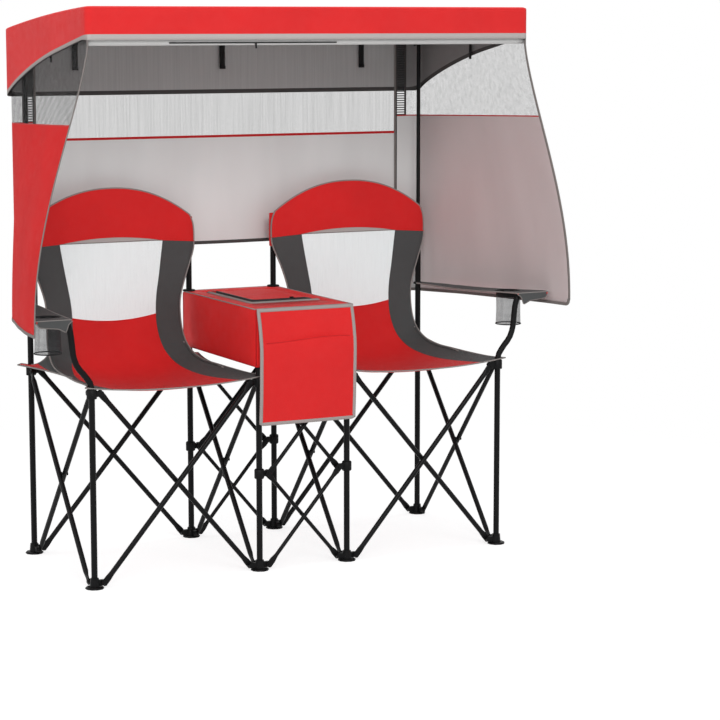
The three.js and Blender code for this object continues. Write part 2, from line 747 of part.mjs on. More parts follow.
function armHeight(y) {
  const t = (y - armFront) / (armRear - armFront);
  return (roofFrontTop - armFrontRise) * (1 - t) + (roofRearTop - armRearRise) * t;
}

function addPole(side, hand) {
  const x = hand * outerX;
  const pivot = armHeight(rearY);
  const tube = upright(innerTubeRadius, x, rearY, rearTubeTop - poleInsert, pivot + innerTubeRadius);
  const stop = upright(legRadius, x, rearY, rearTubeTop + seatGap, rearTubeTop + legRadius);
  const outward = xAxis.clone().multiplyScalar(hand);
  const point = new THREE.Vector3(x, rearY, pivot);
  const headStart = innerTubeRadius + seatGap + 2 * armTubeRadius + seatGap;
  const pin = bar(rivetRadius, point, outward, 0, headStart + rivetHeadHeight);
  const head = bar(rivetHeadRadius, point, outward, headStart, headStart + rivetHeadHeight);
  addPart(`canopy_pole_${side}`, toGeometry(join(tube, stop, pin, head)), 'steel');
}

function addArm(side, hand) {
  const x = hand * (outerX + innerTubeRadius + seatGap + armTubeRadius);
  const start = new THREE.Vector3(x, armRear, armHeight(armRear));
  const end = new THREE.Vector3(x, armFront, armHeight(armFront));
  const length = end.distanceTo(start);
  const tube = bar(armTubeRadius, start, end.clone().sub(start).normalize(), 0, length, tubeSides);
  const point = new THREE.Vector3(x, rearY, armHeight(rearY));
  const hole = bar(rivetHole, point, xAxis, -2 * armTubeRadius, 2 * armTubeRadius);
  addPart(`canopy_arm_${side}`, toGeometry(cut(tube, hole)), 'steel');
}

// Depth of the skirts: evenly deeper towards the rear, and then dropping at the rear corner
const skirtEvenShare = 0.45;
const skirtCornerPower = 6;

function skirtDepth(t) {
  const even = skirtEvenShare * t;
  const corner = (1 - skirtEvenShare) * t ** skirtCornerPower;
  return skirtFront + (skirtRear - skirtFront) * (even + corner);
}

function addRoof() {
  const steps = roofSteps;
  const outline = (inset, drop) => {
    const [y0, y1] = [roofFront + inset, roofRear - inset];
    const points = [];
    for (let i = 0; i <= steps; i += 1) {
      const t = i / steps;
      const y = y0 + (y1 - y0) * t;
      points.push([y, roofTop(y) - inset]);
    }
    for (let i = steps; i >= 0; i -= 1) {
      const t = i / steps;
      const y = y0 + (y1 - y0) * t;
      points.push([y, roofTop(y) - skirtDepth(t) - drop]);
    }
    return points;
  };
  const wedge = (points, half) => {
    const shape = new THREE.Shape(points.map(([y, z]) => new THREE.Vector2(y, z)));
    const geometry = new THREE.ExtrudeGeometry(shape, { depth: 2 * half, bevelEnabled: false });
    geometry.translate(0, 0, -half);
    geometry.applyMatrix4(new THREE.Matrix4().makeBasis(yAxis, zAxis, xAxis));
    return toSolid(geometry);
  };
  const outside = wedge(outline(0, 0), roofHalf);
  const inside = wedge(outline(roofCloth, skirtRear), roofHalf - roofCloth);
  const body = cut(outside, inside);
  addPart('canopy_roof', toGeometry(body), 'red');
  const inset = roofCloth + seatGap;
  const liningEnd = roofRear - inset - curtainCloth - 2 * seatGap;
  const lining = sheet((u, v) => new THREE.Vector3(
    (2 * u - 1) * (roofHalf - inset),
    roofFront + inset + (liningEnd - roofFront - inset) * v,
    liningFront + (liningRear - liningFront) * v - 4 * liningSag * u * (1 - u),
  ), liningColumns, liningRows, liningCloth);
  const poleCuts = [-1, 1].map((hand) => (
    upright(innerTubeRadius + seatGap, hand * outerX, rearY, rearTubeTop, roofFrontTop)));
  addPart('canopy_lining', toGeometry(cut(lining, ...poleCuts)), 'silver');
}

// Curtains hang inside the skirts. The side curtains flare outwards towards the front and turn the
// rear corner to meet the back curtain.
const curtainY = roofRear - roofCloth - seatGap - curtainCloth / 2;
const curtainX = roofHalf - roofCloth - seatGap - curtainCloth / 2;
const sideReturn = curtainX - backCurtainHalf - seatGap;

// How far a fold leans out of the flat cloth, deeper towards the lower edge
function foldAt(count, u, below) {
  return foldDepth * below * (1 - Math.cos(2 * Math.PI * count * u)) / 2;
}

function addBackCurtain() {
  const hem = roofRearTop - skirtRear - curtainHem;
  const cloth = sheet((u, v) => {
    const z = backCurtainBottom + (curtainTop - backCurtainBottom) * v;
    const below = Math.max(0, (hem - z) / (hem - backCurtainBottom));
    const x = (2 * u - 1) * (backCurtainHalf - seatGap);
    return new THREE.Vector3(x, curtainY - foldAt(backFolds, u, below), z);
  }, backColumns, backRows, curtainCloth);
  addPart('back_curtain', toGeometry(cloth), 'silver');
}

// Plan of a side curtain from its rear edge, round the corner, to the front edge: shares of its
// width that the return and the corner take
const sideColumns = 12;
const sideRows = 7;
const returnShare = 1 / sideColumns;
const cornerShare = 2 / sideColumns;
const hemShare = 1 - 1 / sideRows;   // rows of a side curtain that hang below the roof's skirt

function sideCurtainPlace(hand, u, v) {
  const corner = curtainCornerRadius;
  const run = curtainY - roofFront - roofCloth - seatGap;
  const t = Math.max(0, (u - returnShare - cornerShare) / (1 - returnShare - cornerShare));
  let x = curtainX;
  let y = curtainY - corner - (run - corner) * t;
  if (u < returnShare) {
    x = curtainX - sideReturn + (sideReturn - corner) * u / returnShare;
    y = curtainY;
  } else if (u < returnShare + cornerShare) {
    const turn = (u - returnShare) / cornerShare * Math.PI / 2;
    x = curtainX - corner + corner * Math.sin(turn);
    y = curtainY - corner + corner * Math.cos(turn);
  }
  const ahead = (curtainY - y) / run;
  const bottom = curtainTop - sideRearLength - (sideFrontLength - sideRearLength) * ahead;
  const skirtEdge = roofTop(y) - skirtDepth(1 - ahead);
  const hem = Math.min(skirtEdge, curtainTop) - curtainHem;
  const below = Math.min(1, v / hemShare);
  const above = Math.max(0, (v - hemShare) / (1 - hemShare));
  const z = bottom + (hem - bottom) * below + (curtainTop - hem) * above;
  const flare = sideFlare * Math.sin((1 - below) * Math.PI / 2) ** sideFlarePower * t;
  return new THREE.Vector3(hand * (x + flare + foldAt(sideFolds, t, 1 - below)), y, z);
}

function addSideCurtain(side, hand) {
  const place = (u, v) => sideCurtainPlace(hand, hand > 0 ? u : 1 - u, v);
  const cloth = sheet(place, sideColumns, sideRows, curtainCloth);
  addPart(`side_curtain_${side}`, toGeometry(cloth), 'silver');
}

for (const [side, hand] of [['left', -1], ['right', 1]]) {
  addPole(side, hand);
  addArm(side, hand);
  addSideCurtain(side, hand);
}
addRoof();
addBackCurtain();

export default group;
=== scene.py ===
"""Looks of the folding camping loveseat: cloth, nets, bindings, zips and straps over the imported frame."""

import json
import math

import bpy
from mathutils import Matrix, Vector
from mathutils.geometry import delaunay_2d_cdt

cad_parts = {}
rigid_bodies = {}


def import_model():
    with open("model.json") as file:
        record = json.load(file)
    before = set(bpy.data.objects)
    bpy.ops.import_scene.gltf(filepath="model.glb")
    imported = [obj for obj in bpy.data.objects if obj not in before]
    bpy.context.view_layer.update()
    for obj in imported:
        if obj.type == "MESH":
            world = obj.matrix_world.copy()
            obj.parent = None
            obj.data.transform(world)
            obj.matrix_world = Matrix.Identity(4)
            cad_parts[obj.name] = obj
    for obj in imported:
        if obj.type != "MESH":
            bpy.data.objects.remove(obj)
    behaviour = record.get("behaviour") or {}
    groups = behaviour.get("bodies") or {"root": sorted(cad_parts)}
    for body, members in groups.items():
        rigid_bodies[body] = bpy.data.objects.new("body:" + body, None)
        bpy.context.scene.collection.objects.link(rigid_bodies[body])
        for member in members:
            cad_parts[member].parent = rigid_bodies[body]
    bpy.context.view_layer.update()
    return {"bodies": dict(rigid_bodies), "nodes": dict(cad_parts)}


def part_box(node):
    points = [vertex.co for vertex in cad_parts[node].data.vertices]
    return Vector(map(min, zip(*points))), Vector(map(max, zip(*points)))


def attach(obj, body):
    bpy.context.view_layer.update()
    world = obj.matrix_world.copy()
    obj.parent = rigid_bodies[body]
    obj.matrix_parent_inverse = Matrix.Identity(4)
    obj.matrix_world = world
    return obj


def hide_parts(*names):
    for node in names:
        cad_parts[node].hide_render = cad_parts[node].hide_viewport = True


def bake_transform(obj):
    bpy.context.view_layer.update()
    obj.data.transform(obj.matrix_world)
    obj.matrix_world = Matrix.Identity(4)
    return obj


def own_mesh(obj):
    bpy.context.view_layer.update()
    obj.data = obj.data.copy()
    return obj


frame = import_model()

# Places, in metres; left is -x and the front is -y. OUTER, INNER, SHIFT, RISE and the added amounts are
# chosen to fit the pack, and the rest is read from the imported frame.
OUTER, INNER = 0.5875, 0.1275
BAY = OUTER - INNER
CENTRE = (OUTER + INNER) / 2
SHIFT = 0.013
FRONT, REAR = SHIFT - BAY / 2, SHIFT + BAY / 2
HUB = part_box("hub_rear_left_outer")[1].z
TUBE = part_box("leg_rear_left_outer")[1].z
BOX_LOW, BOX_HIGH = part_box("cooler_body")
LID_LOW, LID_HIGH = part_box("cooler_lid")
ROOF_LOW, ROOF_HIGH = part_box("canopy_roof")
BACK_LOW, BACK_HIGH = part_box("back_curtain")
ARM = LID_HIGH.z
HALF = BAY / 2
RISE = 0.470
ROOF_HALF = ROOF_HIGH.x + 0.005
ROOF_FRONT, ROOF_REAR = ROOF_LOW.y, ROOF_HIGH.y
ROOF_FRONT_TOP = TUBE + 0.590
ROOF_REAR_TOP = ROOF_FRONT_TOP - 0.055


# Materials

class Nodes:
    """Short names for making one material's nodes."""

    def __init__(self, name):
        self.material = bpy.data.materials.new(name)
        self.material.use_nodes = True
        self.tree = self.material.node_tree
        self.tree.nodes.clear()
        self.out = self.tree.nodes.new("ShaderNodeOutputMaterial")

    def add(self, kind, settings=None, **inputs):
        node = self.tree.nodes.new(kind)
        for key, value in (settings or {}).items():
            setattr(node, key, value)
        for key, value in inputs.items():
            self.put(node.inputs[int(key[1:]) if key[0] == "i" and key[1:].isdigit() else key], value)
        return node

    def put(self, socket, value):
        if isinstance(value, bpy.types.NodeSocket):
            self.tree.links.new(value, socket)
        else:
            socket.default_value = value

    def math(self, operation, a, b=0.0, c=0.0):
        return self.add("ShaderNodeMath", {"operation": operation}, i0=a, i1=b, i2=c).outputs[0]

    def place(self):
        return self.add("ShaderNodeTexCoord").outputs["Object"]

    def scaled(self, vector, factors):
        return self.add("ShaderNodeVectorMath", {"operation": "MULTIPLY"}, i0=vector, i1=factors).outputs[0]

    def noise(self, vector, scale, detail=3.0, rough=0.5):
        node = self.add("ShaderNodeTexNoise")
        self.put(node.inputs["Vector"], vector)
        self.put(node.inputs["Scale"], scale)
        self.put(node.inputs["Detail"], detail)
        self.put(node.inputs["Roughness"], rough)
        return node.outputs["Fac"]

    def spread(self, value, low, high, to_low, to_high):
        node = self.add("ShaderNodeMapRange", {"clamp": True})
        for socket, v in zip(node.inputs, (value, low, high, to_low, to_high)):
            self.put(socket, v)
        return node.outputs[0]

    def mix(self, factor, a, b):
        node = self.add("ShaderNodeMix", {"data_type": "RGBA"})
        self.put(node.inputs[0], factor)
        self.put(node.inputs[6], a)
        self.put(node.inputs[7], b)
        return node.outputs[2]

    def bump(self, height, distance, strength=1.0, normal=None):
        node = self.add("ShaderNodeBump")
        self.put(node.inputs["Strength"], strength)
        self.put(node.inputs["Distance"], distance)
        self.put(node.inputs["Height"], height)
        if normal is not None:
            self.put(node.inputs["Normal"], normal)
        return node.outputs["Normal"]

    def surface(self, colour, roughness, normal=None, **sockets):
        node = self.add("ShaderNodeBsdfPrincipled")
        self.put(node.inputs["Base Color"], colour)
        self.put(node.inputs["Roughness"], roughness)
        if normal is not None:
            self.put(node.inputs["Normal"], normal)
        for key, value in sockets.items():
            self.put(node.inputs[key.replace("_", " ")], value)
        return node.outputs[0]

    def done(self, shader):
        self.tree.links.new(shader, self.out.inputs["Surface"])
        return self.material


def rgb(red, green, blue):
    """A colour written as it shows, 0 to 255, as the linear colour that the nodes take."""
    def linear(v):
        v /= 255
        return v / 12.92 if v <= 0.04045 else ((v + 0.055) / 1.055) ** 2.4
    return (linear(red), linear(green), linear(blue), 1.0)


def darker(colour, share):
    return tuple(c * share for c in colour[:3]) + (1.0,)


def weave_of(n, pitch):
    """Height of over and under threads, and the cloth's own coordinates that they lie on, in metres."""
    uv = n.add("ShaderNodeUVMap", {"uv_map": "cloth"}).outputs[0]
    split = n.add("ShaderNodeSeparateXYZ", i0=uv)
    turn = 2 * math.pi / pitch
    across = n.math("SINE", n.math("MULTIPLY", split.outputs[0], turn))
    down = n.math("SINE", n.math("MULTIPLY", split.outputs[1], turn))
    return n.math("MULTIPLY", across, down), uv


def woven(name, colour, rough=0.66, tone=0.07, crease=0.0012, sheen=0.04, specular=0.28):
    """Coated woven polyester: plain weave, slubs, a little unevenness and very soft creases."""
    n = Nodes(name)
    weave, uv = weave_of(n, 0.0011)
    place = n.place()
    cloudy = n.spread(n.noise(place, 7.0, 4.0, 0.55), 0.3, 0.7, 0.0, 1.0)
    slubs = n.noise(n.scaled(uv, (900.0, 60.0, 1.0)), 1.0, 2.0, 0.6)
    base = n.mix(cloudy, darker(colour, 1 - tone), darker(colour, 1 + tone * 0.6))
    base = n.mix(n.spread(slubs, 0.35, 0.75, 0.0, 0.3), base, darker(colour, 0.8))
    base = n.mix(n.spread(weave, -1.0, 1.0, 0.14, 0.0), base, darker(colour, 0.62))
    soft = n.bump(n.noise(n.scaled(place, (4.0, 4.0, 7.0)), 1.0, 3.0, 0.5), crease, 0.6)
    normal = n.bump(weave, 0.00022, 0.55, soft)
    shine = n.spread(n.noise(place, 40.0, 2.0), 0.3, 0.7, rough - 0.05, rough + 0.06)
    return n.done(n.surface(base, shine, normal, Sheen_Weight=sheen, Sheen_Roughness=0.5,
                            Specular_IOR_Level=specular))


def coated(name, colour, rough=0.42, crease=0.0016, tone=0.05):
    """The silver lining side of the curtains: a smooth coat over a fine weave, with long soft folds."""
    n = Nodes(name)
    weave, _ = weave_of(n, 0.0009)
    place = n.place()
    folds = n.noise(n.scaled(place, (7.0, 7.0, 1.6)), 1.0, 3.0, 0.5)
    # The fold noise also tints the coat: painted shade in the folds' troughs and painted highlight on their crests.
    base = n.mix(n.spread(folds, 0.3, 0.7, 0.0, 1.0), darker(colour, 1 - tone), darker(colour, 1 + tone))
    normal = n.bump(weave, 0.0001, 0.4, n.bump(folds, crease * 3, 0.5))
    shine = n.spread(n.noise(place, 25.0), 0.3, 0.7, rough - 0.05, rough + 0.08)
    return n.done(n.surface(base, shine, normal, Specular_IOR_Level=0.5))


def net(name, colour, cover, pitch=0.0022, streak=(150.0, 150.0, 5.0), streaks=0.22, shade=0.75):
    """Open net: threads on a square grid with holes between, and streaks where it is pulled."""
    n = Nodes(name)
    uv = n.add("ShaderNodeUVMap", {"uv_map": "cloth"}).outputs[0]
    split = n.add("ShaderNodeSeparateXYZ", i0=uv)
    turn = math.pi / pitch
    across = n.math("ABSOLUTE", n.math("SINE", n.math("MULTIPLY", split.outputs[0], turn)))
    down = n.math("ABSOLUTE", n.math("SINE", n.math("MULTIPLY", split.outputs[1], turn)))
    threads = n.math("MAXIMUM", across, down)
    pulled = n.noise(n.scaled(n.place(), streak), 1.0, 3.0, 0.6)
    solid = n.spread(threads, 0.72, 0.93, max(0.0, cover - 0.28), min(1.0, cover + 0.2))
    solid = n.math("ADD", solid, n.spread(pulled, 0.3, 0.7, -streaks, streaks))
    solid = n.add("ShaderNodeClamp", Value=solid).outputs[0]
    base = n.mix(n.spread(pulled, 0.3, 0.7, 0.0, 1.0), darker(colour, shade), colour)
    normal = n.bump(threads, 0.0003, 0.5)
    shown = n.surface(base, 0.7, normal, Specular_IOR_Level=0.3)
    clear = n.add("ShaderNodeBsdfTransparent").outputs[0]
    return n.done(n.add("ShaderNodeMixShader", i0=solid, i1=clear, i2=shown).outputs[0])


def ladder(name, colour):
    """The stiff strip beside a curtain's corner: close level threads with gaps between."""
    n = Nodes(name)
    uv = n.add("ShaderNodeUVMap", {"uv_map": "cloth"}).outputs[0]
    split = n.add("ShaderNodeSeparateXYZ", i0=uv)
    rungs = n.math("SINE", n.math("MULTIPLY", split.outputs[1], 2 * math.pi / 0.0066))
    solid = n.spread(rungs, -0.2, 0.5, 0.12, 0.9)
    base = n.mix(n.noise(n.place(), 300.0), colour, darker(colour, 1.8))
    shown = n.surface(base, 0.7, n.bump(rungs, 0.0006, 0.6))
    clear = n.add("ShaderNodeBsdfTransparent").outputs[0]
    return n.done(n.add("ShaderNodeMixShader", i0=solid, i1=clear, i2=shown).outputs[0])


def enamel(name, colour, rough, grain=1100.0, height=0.00008, specular=0.5):
    """Powder coat or moulded plastic: fine orange peel, faint handling marks, duller in patches."""
    n = Nodes(name)
    place = n.place()
    peel = n.noise(place, grain, 2.0)
    marks = n.noise(n.scaled(place, (60.0, 60.0, 25.0)), 1.0, 5.0, 0.65)
    base = n.mix(n.spread(marks, 0.45, 0.75, 0.0, 0.1), colour, darker(colour, 2.2))
    shine = n.spread(marks, 0.35, 0.7, rough - 0.07, rough + 0.1)
    return n.done(n.surface(base, shine, n.bump(peel, height, 0.5), Specular_IOR_Level=specular))


def webbing(name, colour):
    """Bound tape and straps: ribs across the tape."""
    n = Nodes(name)
    uv = n.add("ShaderNodeUVMap", {"uv_map": "cloth"}).outputs[0]
    split = n.add("ShaderNodeSeparateXYZ", i0=uv)
    ribs = n.math("SINE", n.math("MULTIPLY", split.outputs[0], 2 * math.pi / 0.0016))
    fibres = n.noise(n.scaled(uv, (500.0, 2500.0, 1.0)), 1.0, 2.0)
    base = n.mix(n.spread(ribs, -1.0, 1.0, 0.25, 0.0), colour, darker(colour, 0.6))
    base = n.mix(n.spread(fibres, 0.3, 0.7, 0.0, 0.25), base, darker(colour, 1.25))
    normal = n.bump(ribs, 0.0002, 0.6)
    return n.done(n.surface(base, 0.75, normal, Sheen_Weight=0.05, Specular_IOR_Level=0.25))


def teeth(name):
    """Zip coil: close ribs across the run, slightly shiny."""
    n = Nodes(name)
    uv = n.add("ShaderNodeUVMap", {"uv_map": "cloth"}).outputs[0]
    split = n.add("ShaderNodeSeparateXYZ", i0=uv)
    ribs = n.math("SINE", n.math("MULTIPLY", split.outputs[0], 2 * math.pi / 0.0018))
    base = n.mix(n.spread(ribs, -1.0, 1.0, 0.0, 1.0), rgb(8, 8, 9), rgb(26, 26, 27))
    return n.done(n.surface(base, 0.5, n.bump(ribs, 0.0005, 0.8)))


red = woven("red_cloth", rgb(213, 25, 26))
red_shell = woven("red_shell", rgb(212, 27, 28), rough=0.62, crease=0.0016)
# A brighter copy of the red cloth for the box and its lid: painted light.
box_red_painted_light = woven("box_red_cloth_painted_light", rgb(238, 22, 23), specular=0.33)
# A slightly darker, less shiny copy of the red cloth for the side curtains' outside: the darker colour is painted
# shade.
red_curtain_painted_darker = woven("red_curtain_painted_darker", rgb(207, 20, 21), rough=0.76, sheen=0.02, specular=0.16)
charcoal = woven("charcoal_cloth", rgb(72, 73, 73), rough=0.74, tone=0.05)
skirt_in = woven("skirt_inside", rgb(97, 95, 94), rough=0.7, tone=0.05)
lining_cloth = woven("lining_cloth", rgb(196, 195, 193), rough=0.6, tone=0.04)
silver = coated("silver_coat", rgb(208, 208, 207))
# The curtains' silver coat once more, painted darker and pinker: painted shade and painted red light bounced from the
# red cloth around it.
silver_painted_shade_and_red_bounce = coated("silver_coat_painted_shade_and_red_bounce", rgb(192, 180, 179), crease=0.002)
side_header = woven("side_header", rgb(131, 131, 130), tone=0.05)
back_header = net("net_over_skirt", rgb(170, 170, 169), 1.3, streak=(260.0, 260.0, 4.0), streaks=0.0, shade=0.86)
# The white net's slight cyan tint is painted to cancel the red light bounced onto it from the seat cloth around it.
white_net = net("back_net", rgb(244, 253, 253), 0.99, streak=(260.0, 260.0, 4.0), streaks=0.02, shade=0.975)
curtain_net = net("curtain_net", rgb(48, 48, 48), 0.17, streak=(200.0, 200.0, 4.0), streaks=0.04)
side_net = net("side_curtain_net", rgb(48, 48, 48), 0.17, streak=(110.0, 80.0, 60.0), streaks=0.05)
cup_net = net("cup_net", rgb(56, 56, 58), 0.43, pitch=0.0026, streaks=0.03)
rung_net = ladder("corner_net", rgb(52, 52, 52))
steel = enamel("powder_coat", rgb(10, 10, 11), 0.42, specular=0.13)
plastic = enamel("moulded_plastic", rgb(11, 11, 12), 0.55, 700.0, 0.00012, specular=0.14)
pale_tape = webbing("pale_tape", rgb(170, 163, 160))
grey_tape = webbing("grey_tape", rgb(152, 143, 140))
mid_tape = webbing("mid_tape", rgb(116, 110, 107))
piping_tape = webbing("piping_tape", rgb(134, 128, 125))
dark_tape = webbing("dark_tape", rgb(66, 64, 63))
black_tape = webbing("black_tape", rgb(15, 15, 16))
red_tape = webbing("red_tape", rgb(184, 20, 24))
zip_teeth = teeth("zip_teeth")

for name, node in frame["nodes"].items():
    kind = plastic if name.startswith(("hub_", "slider_")) else steel
    node.data.materials.clear()
    node.data.materials.append(kind)


# Mesh code

def made(name, points, faces, picks, uvs, materials):
    """A mesh object from faces, each with its material and its own cloth coordinates; unused points go."""
    used = sorted({i for face in faces for i in face})
    new = {old: k for k, old in enumerate(used)}
    mesh = bpy.data.meshes.new(name)
    mesh.from_pydata([tuple(points[i]) for i in used], [], [[new[i] for i in face] for face in faces])
    for material in materials:
        mesh.materials.append(material)
    layer = mesh.uv_layers.new(name="cloth")
    k = 0
    for polygon, pick, corners in zip(mesh.polygons, picks, uvs):
        polygon.material_index = pick
        polygon.use_smooth = True
        for corner in corners:
            layer.data[k].uv = corner
            k += 1
    piece = bpy.data.objects.new(name, mesh)
    bpy.context.scene.collection.objects.link(piece)
    return piece


def cloth(name, rows, materials, pick=None, thick=0.0, wrap=False, back=0, rim=0):
    """A sheet through rows of points. pick(i, j) gives the material at column i of row j."""
    n, m = len(rows[0]), len(rows)
    along = [[0.0] for _ in rows]
    for j, row in enumerate(rows):
        for i in range(n if wrap else n - 1):
            along[j].append(along[j][-1] + (row[(i + 1) % n] - row[i]).length)
    down = [[0.0] * m for _ in range(n)]
    for i in range(n):
        for j in range(1, m):
            down[i][j] = down[i][j - 1] + (rows[j][i] - rows[j - 1][i]).length
    faces, picks, uvs = [], [], []
    for j in range(m - 1):
        for i in range(n if wrap else n - 1):
            k = (i + 1) % n
            faces.append((j * n + i, j * n + k, (j + 1) * n + k, (j + 1) * n + i))
            picks.append(pick(i, j) if pick else 0)
            uvs.append(((along[j][i], down[i][j]), (along[j][i + 1], down[k][j]),
                        (along[j + 1][i + 1], down[k][j + 1]), (along[j + 1][i], down[i][j + 1])))
    piece = made(name, [p for row in rows for p in row], faces, picks, uvs, materials)
    if thick:
        solid = piece.modifiers.new("cloth thickness", "SOLIDIFY")
        solid.thickness, solid.offset = thick, 0.0
        solid.material_offset, solid.material_offset_rim = back, rim
    return piece


def sweep(name, path, section, material, sides=None, closed=False):
    """A bar of the given section along a path. sides are the directions of the section's first axis."""
    count, n = len(path), len(section)
    tangents = []
    for i in range(count):
        a = path[(i - 1) % count] if closed or i > 0 else path[i]
        b = path[(i + 1) % count] if closed or i < count - 1 else path[i]
        tangents.append((b - a).normalized())
    rows, side = [], None
    for i, point in enumerate(path):
        t = tangents[i]
        if sides is not None:
            side = sides[i] - t * sides[i].dot(t)
        elif side is None:
            side = t.cross(Vector((0, 0, 1)))
            if side.length < 0.2:
                side = t.cross(Vector((0, 1, 0)))
        else:
            side = side - t * side.dot(t)
        side = side.normalized()
        up = t.cross(side)
        rows.append([point + side * a + up * b for a, b in section])
    points = [p for row in rows for p in row]
    run = [0.0]
    for i in range(count if closed else count - 1):
        run.append(run[-1] + (path[(i + 1) % count] - path[i]).length)
    round_it = [0.0]
    for k in range(n):
        a, b = section[k], section[(k + 1) % n]
        round_it.append(round_it[-1] + math.dist(a, b))
    faces, uvs = [], []
    for i in range(count if closed else count - 1):
        j = (i + 1) % count
        for k in range(n):
            m = (k + 1) % n
            faces.append((i * n + k, i * n + m, j * n + m, j * n + k))
            uvs.append(((run[i], round_it[k]), (run[i], round_it[k + 1]),
                        (run[i + 1], round_it[k + 1]), (run[i + 1], round_it[k])))
    if not closed:
        for start, order in ((0, range(n - 1, -1, -1)), ((count - 1) * n, range(n))):
            faces.append(tuple(start + k for k in order))
            uvs.append(tuple(section[k] for k in order))
    return made(name, points, faces, [0] * len(faces), uvs, [material])


def circle(radius, sides=8, flat=1.0):
    return [(radius * math.cos(2 * math.pi * k / sides), radius * flat * math.sin(2 * math.pi * k / sides))
            for k in range(sides)]


def tape_section(outside, inside, half):
    """Section of a tape folded over an edge: from outside the edge to inside the cloth."""
    return [(-outside, -half * 0.5), (-outside * 0.4, -half), (inside * 0.5, -half), (inside, -half * 0.7),
            (inside, half * 0.7), (inside * 0.5, half), (-outside * 0.4, half), (-outside, half * 0.5)]


def binding(name, edge, inner, width, half, material, closed=False):
    """Tape folded over a cloth's edge. inner are points of the cloth just inside the edge."""
    sides = [b - a for a, b in zip(edge, inner)]
    return sweep(name, edge, tape_section(0.0008, width, half), material, sides, closed)


def joined(name, *pieces):
    """Several plain meshes as one piece."""
    bpy.ops.object.select_all(action="DESELECT")
    for piece in pieces:
        piece.select_set(True)
    bpy.context.view_layer.objects.active = pieces[0]
    bpy.ops.object.join()
    pieces[0].name = name
    pieces[0].data.name = name
    return pieces[0]


def weld(piece):
    """Points in the same place become one, so that shading runs on over the joins."""
    piece.modifiers.new("joins", "WELD").merge_threshold = 0.0001


def follow(piece, body, weight):
    """Points of a soft piece are drawn along by another body, by a share that depends on their place."""
    group = piece.vertex_groups.new(name="with_" + body)
    for vertex in piece.data.vertices:
        w = min(1.0, max(0.0, weight(vertex.co)))
        if w > 0:
            group.add([vertex.index], w, "REPLACE")
    hook = piece.modifiers.new("with " + body, "HOOK")
    hook.object = frame["bodies"][body]
    hook.vertex_group = group.name
    hook.matrix_inverse = Matrix.Identity(4)
    hook.center = (0, 0, 0)
    hook.falloff_type = "NONE"
    hook.strength = 1.0
    piece.modifiers.move(len(piece.modifiers) - 1, sum(m.type == "HOOK" for m in piece.modifiers) - 1)


def blend_value(a, b, t):
    return a + (b - a) * t


def share(value, start, end, margin):
    """How far a value is from start to end, 0 to 1, with the margin at each end kept whole."""
    length = abs(end - start)
    way = math.copysign(1, end - start)
    return ((value - start) * way - margin) / (length - 2 * margin)


def spline(table, t):
    """Value at t, 0 to 1, between a table's rows, smoothly."""
    place = min(1.0, max(0.0, t)) * (len(table) - 1)
    k = min(len(table) - 2, int(place))
    p0, p1, p2, p3 = (table[min(len(table) - 1, max(0, i))] for i in range(k - 1, k + 3))
    f = place - k
    return [0.5 * (2 * b + (c - a) * f + (2 * a - 5 * b + 4 * c - d) * f * f + (3 * b - a - 3 * c + d) * f ** 3)
            for a, b, c, d in zip(p0, p1, p2, p3)]


def even(count, low=0.0, high=1.0):
    return [low + (high - low) * k / count for k in range(count + 1)]


# Seats

# From the seat's front edge to the top of the backrest: side edge's half width, depth and height,
# then the middle's depth and height, and last the half width of the middle panel
SLING = [
    (1.09, -1.035, 0.01, -1.026, -0.026, 0.775), (1.0, -0.83, 0.008, -0.78, -0.05, 0.75),
    (0.985, -0.43, 0.005, -0.39, -0.076, 0.73), (0.955, 0, 0.009, 0, -0.1, 0.715),
    (0.92, 0.39, 0.017, 0.35, -0.09, 0.69), (0.887, 0.65, 0.053, 0.61, -0.043, 0.635),
    (0.861, 0.817, 0.123, 0.774, 0.049, 0.57), (0.843, 0.883, 0.23, 0.861, 0.177, 0.53),
    (0.85, 0.896, 0.357, 0.905, 0.326, 0.535), (0.936, 0.904, 0.496, 0.93, 0.485, 0.585),
    (1.03, 0.935, 0.613, 0.94, 0.613, 0.625), (1.05, 0.947, 0.677, 0.945, 0.72, 0.65),
    (1.043, 0.95, 0.77, 0.945, 0.86, 0.655), (1.0, 0.95, 0.83, 0.94, 1.0, 0.65),
]
PANEL_BOTTOM, PANEL_TOP = 0.636, 0.835


def sling_point(centre, a, v):
    half, edge_y, edge_z, mid_y, mid_z, _ = spline(SLING, v)
    w = abs(a) ** 2.2
    return Vector((centre + a * half * HALF, SHIFT + blend_value(mid_y, edge_y, w) * HALF,
                   HUB + blend_value(mid_z, edge_z, w) * RISE))


def sling_at_height(a, z):
    """How far up the sling, 0.42 to 1, the backrest reaches a height."""
    low, high = 0.42, 1.0
    for _ in range(30):
        middle = (low + high) / 2
        if sling_point(0, a, middle).z < z:
            low = middle
        else:
            high = middle
    return (low + high) / 2


# The cloth this near to a leg keeps its shape when the frame folds
SEAT_MARGIN = 0.032
BOX_MARGIN = 0.02


